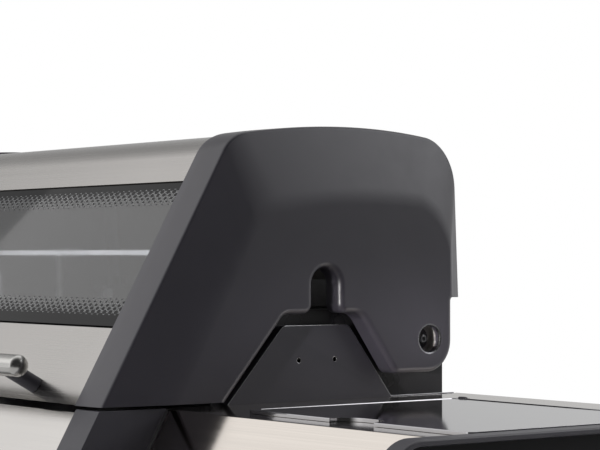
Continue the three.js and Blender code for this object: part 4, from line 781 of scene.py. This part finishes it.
def in_recess(nearest, deepest):
    """A test of whether a point of a hood end lies on the wall of its hinge recess between two depths"""
    def belongs(centre):
        depth = HOOD_HALF_WIDTH - abs(centre.x)
        reach = (Vector((centre.y, centre.z)) - PIVOT).length
        return nearest < depth < deepest and abs(reach - RECESS_RADIUS) < RECESS_EDGE
    return belongs


paired(hood_end_mesh(), "hood_end", "cast", extra=(
    (finishes["machined"], in_recess(RECESS_COATED, RECESS_DEPTH)),
    (finishes["machined_rim"], in_recess(0, RECESS_EDGE)),
))


# Shelf ends

def shelf_end_mesh():
    """The right shelf end: a plate with rounded corners and a rounded rim round its hollow outer face"""
    low, high = (Vector((corner.x, corner.y - SHIFT_Y, corner.z)) for corner in END_BOX)

    def ring(x, set_in):
        return across(x, filleted([
            (low.y + set_in, low.z + set_in, END_FOOT_RADIUS - set_in),
            (low.y + set_in, high.z - set_in, END_FRONT_RADIUS - set_in),
            (high.y - set_in, high.z - set_in, END_REAR_RADIUS - set_in),
            (high.y - set_in, low.z + set_in, END_REAR_RADIUS - set_in),
        ]))

    rings = [ring(low.x, 0)]
    hollow = [ring(high.x + OVERRUN, END_RIM - END_EDGE)]
    for turn in quarter_turn():
        rings.append(ring(high.x - END_EDGE * (1 - math.sin(turn)), END_EDGE * (1 - math.cos(turn))))
        hollow.append(ring(high.x - END_EDGE * math.sin(turn) / 2, END_RIM - END_EDGE * math.cos(turn) / 2))
    hollow.append(ring(high.x - END_RECESS, END_RIM + END_EDGE))
    return carved(loft(rings), [loft(hollow)])


paired(shelf_end_mesh(), "shelf_end", "frame", material=finishes["end_frame"])


# Nodes that keep their shape: small rounded edges and smooth shading through modifiers

def smooth_group():
    """Geometry nodes that shade smooth, with edges over a limit angle kept sharp"""
    group = bpy.data.node_groups.new("smooth_by_angle", "GeometryNodeTree")
    group.interface.new_socket("Geometry", in_out="INPUT", socket_type="NodeSocketGeometry")
    group.interface.new_socket("Geometry", in_out="OUTPUT", socket_type="NodeSocketGeometry")
    entry = group.nodes.new("NodeGroupInput")
    leave = group.nodes.new("NodeGroupOutput")
    faces = group.nodes.new("GeometryNodeSetShadeSmooth")
    edges = group.nodes.new("GeometryNodeSetShadeSmooth")
    edges.domain = "EDGE"
    edges.inputs["Shade Smooth"].default_value = False
    angle = group.nodes.new("GeometryNodeInputMeshEdgeAngle")
    over = group.nodes.new("FunctionNodeCompare")
    over.operation = "GREATER_THAN"
    over.inputs[1].default_value = math.radians(SMOOTH_ANGLE)
    link = group.links.new
    link(entry.outputs[0], faces.inputs["Geometry"])
    link(faces.outputs["Geometry"], edges.inputs["Geometry"])
    link(angle.outputs["Unsigned Angle"], over.inputs[0])
    link(over.outputs[0], edges.inputs["Selection"])
    link(edges.outputs["Geometry"], leave.inputs[0])
    return group


smooth = smooth_group()


def dressed(node, rounding, finish, rim):
    """Gives a node merged faces, rounded edges, smooth shading and its finish, and its rims their own"""
    piece = nodes[node]
    merge = piece.modifiers.new("merge", "WELD")
    merge.merge_threshold = MERGE_REACH * MM
    flat = piece.modifiers.new("flat", "DECIMATE")
    flat.decimate_type = "DISSOLVE"
    flat.angle_limit = math.radians(FLAT_ANGLE)
    if rounding:
        edge = piece.modifiers.new("edge", "BEVEL")
        edge.width = rounding * MM
        edge.segments = ROUNDED_SEGMENTS
        edge.limit_method = "ANGLE"
        edge.angle_limit = math.radians(ROUNDED_ANGLE)
        if rim:
            edge.material = 1
    shade = piece.modifiers.new("shade", "NODES")
    shade.node_group = smooth
    even = piece.modifiers.new("even_normals", "WEIGHTED_NORMAL")
    even.keep_sharp = True
    piece.data.materials.clear()
    piece.data.materials.append(finishes[finish])
    if rim:
        piece.data.materials.append(finishes[rim])


REPLACED_NODES = ("hood_end_right", "hood_end_left", "shelf_end_right", "shelf_end_left")
EDGE_SIZES = {
    "brushed_sheet": 0.5, "dark_casting": 0.8, "handle_steel": 0.6, "window": 0.6, "gauge": 0.3,
    "enamel": 0.6, "pin": 0.4, "iron": 0.6, "tray": 0.5, "knob": 0.5, "lid_steel": 0.4,
    "castor_steel": 0.5, "tyre": 0.8,
}
NODE_EDGES = {
    "shelf_right": 1.2, "shelf_left": 1.2, "side_burner_lid": 1.1,
    "side_plate_right": 1.3, "side_plate_left": 1.3,
}
NODE_FINISHES = {
    "hood_skin": "hood_sheet", "hood_lower_panel": "hood_sheet",
    "shelf_right": "shelf_sheet", "shelf_left": "shelf_sheet",
}
NODE_RIMS = {"side_plate_right": "plate_rim", "side_plate_left": "plate_rim"}
for node in nodes:
    if node not in REPLACED_NODES:
        rounding = NODE_EDGES.get(node, EDGE_SIZES.get(slots[node], 0))
        dressed(node, rounding, NODE_FINISHES.get(node, slots[node]), NODE_RIMS.get(node))


def lid_bead():
    """A thin round rod that follows the left and rear edges of the side burner's lid"""
    low, high = (corner / MM for corner in map(Vector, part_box("side_burner_lid")))
    left = low.x + BEAD_SET_IN
    right = high.x - BEAD_END
    front = low.y - SHIFT_Y + BEAD_END
    rear = high.y - SHIFT_Y - LID_REAR_GAP - BEAD_SET_IN
    line = filleted([(left, front), (left, rear, BEAD_CORNER), (right, rear)], closed=False)
    rings = []
    for i, point in enumerate(line):
        before = line[max(i - 1, 0)]
        after = line[min(i + 1, len(line) - 1)]
        along = (after - before).normalized()
        radius = BEAD_RADIUS * (1 if i else BEAD_THIN_SHARE)
        side = Vector((along.y, -along.x)) * radius
        ring = []
        for k in range(BEAD_SIDES):
            turn = 2 * math.pi * k / BEAD_SIDES
            out = point + side * math.cos(turn)
            ring.append((out.x, out.y, low.z + BEAD_RISE + radius * math.sin(turn)))
        rings.append(ring)
    return loft(rings)


finished("side_burner_lid_bead", lid_bead(), bodies["side_burner_lid"], "lid_steel", sharp=50)


# Camera, floor and light

camera_data = bpy.data.cameras.new("camera")
camera_data.sensor_width = SENSOR
camera_data.lens = LENS
camera_data.shift_y = FRAME_SHIFT
camera_data.clip_end = CLIP_END
camera = as_object("camera", camera_data)
camera.location = Vector(CAMERA_PLACE) * MM
camera.rotation_euler = (math.pi / 2, 0, math.radians(VIEW_TURN))
bpy.context.scene.camera = camera

half = FLOOR_HALF * MM
floor_mesh = bpy.data.meshes.new("floor")
floor_mesh.from_pydata(
    [(-half, -half, 0), (half, -half, 0), (half, half, 0), (-half, half, 0)], [], [(0, 1, 2, 3)])
floor = as_object("floor", floor_mesh)
ground = Finish("floor", FLOOR_TONES[0], roughness=0.7)
ground.set("Base Color", ground.blend(ground.noise(ground.place(), scale=3, detail=3), *FLOOR_TONES))
floor_mesh.materials.append(ground.material)


def soft_light(name, place, aim, size, power, tint=(1, 1, 1), spread=180):
    lamp = bpy.data.lights.new(name, "AREA")
    lamp.spread = math.radians(spread)
    lamp.shape = "RECTANGLE"
    lamp.size, lamp.size_y = (s * MM for s in size)
    lamp.energy = power
    lamp.color = tint
    made = as_object(name, lamp)
    made.location = Vector(place) * MM
    toward = Vector(aim) - Vector(place)
    made.rotation_euler = toward.to_track_quat("-Z", "Y").to_euler()


soft_light(
    "front_box", place=(-2300, -1900, 2900), aim=(0, 0, 950), size=(2600, 2600), power=8.5,
    tint=(1, 0.985, 0.97))
soft_light(
    "rear_box", place=(2110, 2160, 2300), aim=(HOOD_HALF_WIDTH, 0, HOOD_FOOT + HOOD_RISE / 2),
    size=(1300, 1300), power=14, tint=(0.97, 0.97, 1))
soft_light(
    "hinge_box", place=(1090, -1800, 1050), aim=(HOOD_HALF_WIDTH, PIVOT.x + SHIFT_Y, PIVOT.y),
    size=(120, 120), power=0.075, tint=(1, 0.97, 0.96), spread=5)
soft_light(
    "rack_box", place=(-135, -50, 1082), aim=(-135, 36, 1079), size=(530, 38), power=0.088, spread=150)


def studio_world():
    """Soft light from all round, dark to the right and greyer in two places; the camera sees white"""
    world = bpy.data.worlds.new("studio")
    world.use_nodes = True
    bpy.context.scene.world = world
    tree = world.node_tree
    link = tree.links.new
    sky = tree.nodes["Background"]
    sky.inputs["Color"].default_value = (1, 1, 1, 1)
    white = tree.nodes.new("ShaderNodeBackground")
    white.inputs["Strength"].default_value = 1
    white.inputs["Color"].default_value = (1, 1, 1, 1)
    coordinates = tree.nodes.new("ShaderNodeTexCoord")

    def shade(axis, start, end, low, high):
        toward = tree.nodes.new("ShaderNodeVectorMath")
        toward.operation = "DOT_PRODUCT"
        toward.inputs[1].default_value = Vector(axis).normalized()
        spread = tree.nodes.new("ShaderNodeMapRange")
        spread.interpolation_type = "SMOOTHSTEP"
        for socket, value in zip(("From Min", "From Max", "To Min", "To Max"), (start, end, low, high)):
            spread.inputs[socket].default_value = value
        link(coordinates.outputs["Generated"], toward.inputs[0])
        link(toward.outputs["Value"], spread.inputs["Value"])
        return spread.outputs["Result"]

    def product(first, second):
        made = tree.nodes.new("ShaderNodeMath")
        made.operation = "MULTIPLY"
        link(first, made.inputs[0])
        link(second, made.inputs[1])
        return made.outputs[0]

    rays = tree.nodes.new("ShaderNodeLightPath")
    through = tree.nodes.new("ShaderNodeMapRange")
    through.inputs["To Min"].default_value = 1
    through.inputs["To Max"].default_value = SKY_THROUGH_GLASS
    link(rays.outputs["Is Transmission Ray"], through.inputs["Value"])
    front_and_right = product(shade(*DARK_RIGHT), shade(*GREY_FRONT))
    left_and_glass = product(shade(*GREY_LEFT), through.outputs["Result"])
    link(product(front_and_right, left_and_glass), sky.inputs["Strength"])
    choice = tree.nodes.new("ShaderNodeMixShader")
    link(rays.outputs["Is Camera Ray"], choice.inputs[0])
    link(sky.outputs[0], choice.inputs[1])
    link(white.outputs[0], choice.inputs[2])
    link(choice.outputs[0], tree.nodes["World Output"].inputs["Surface"])


studio_world()
bpy.context.scene.view_settings.view_transform = "Standard"

bpy.context.view_layer.update()
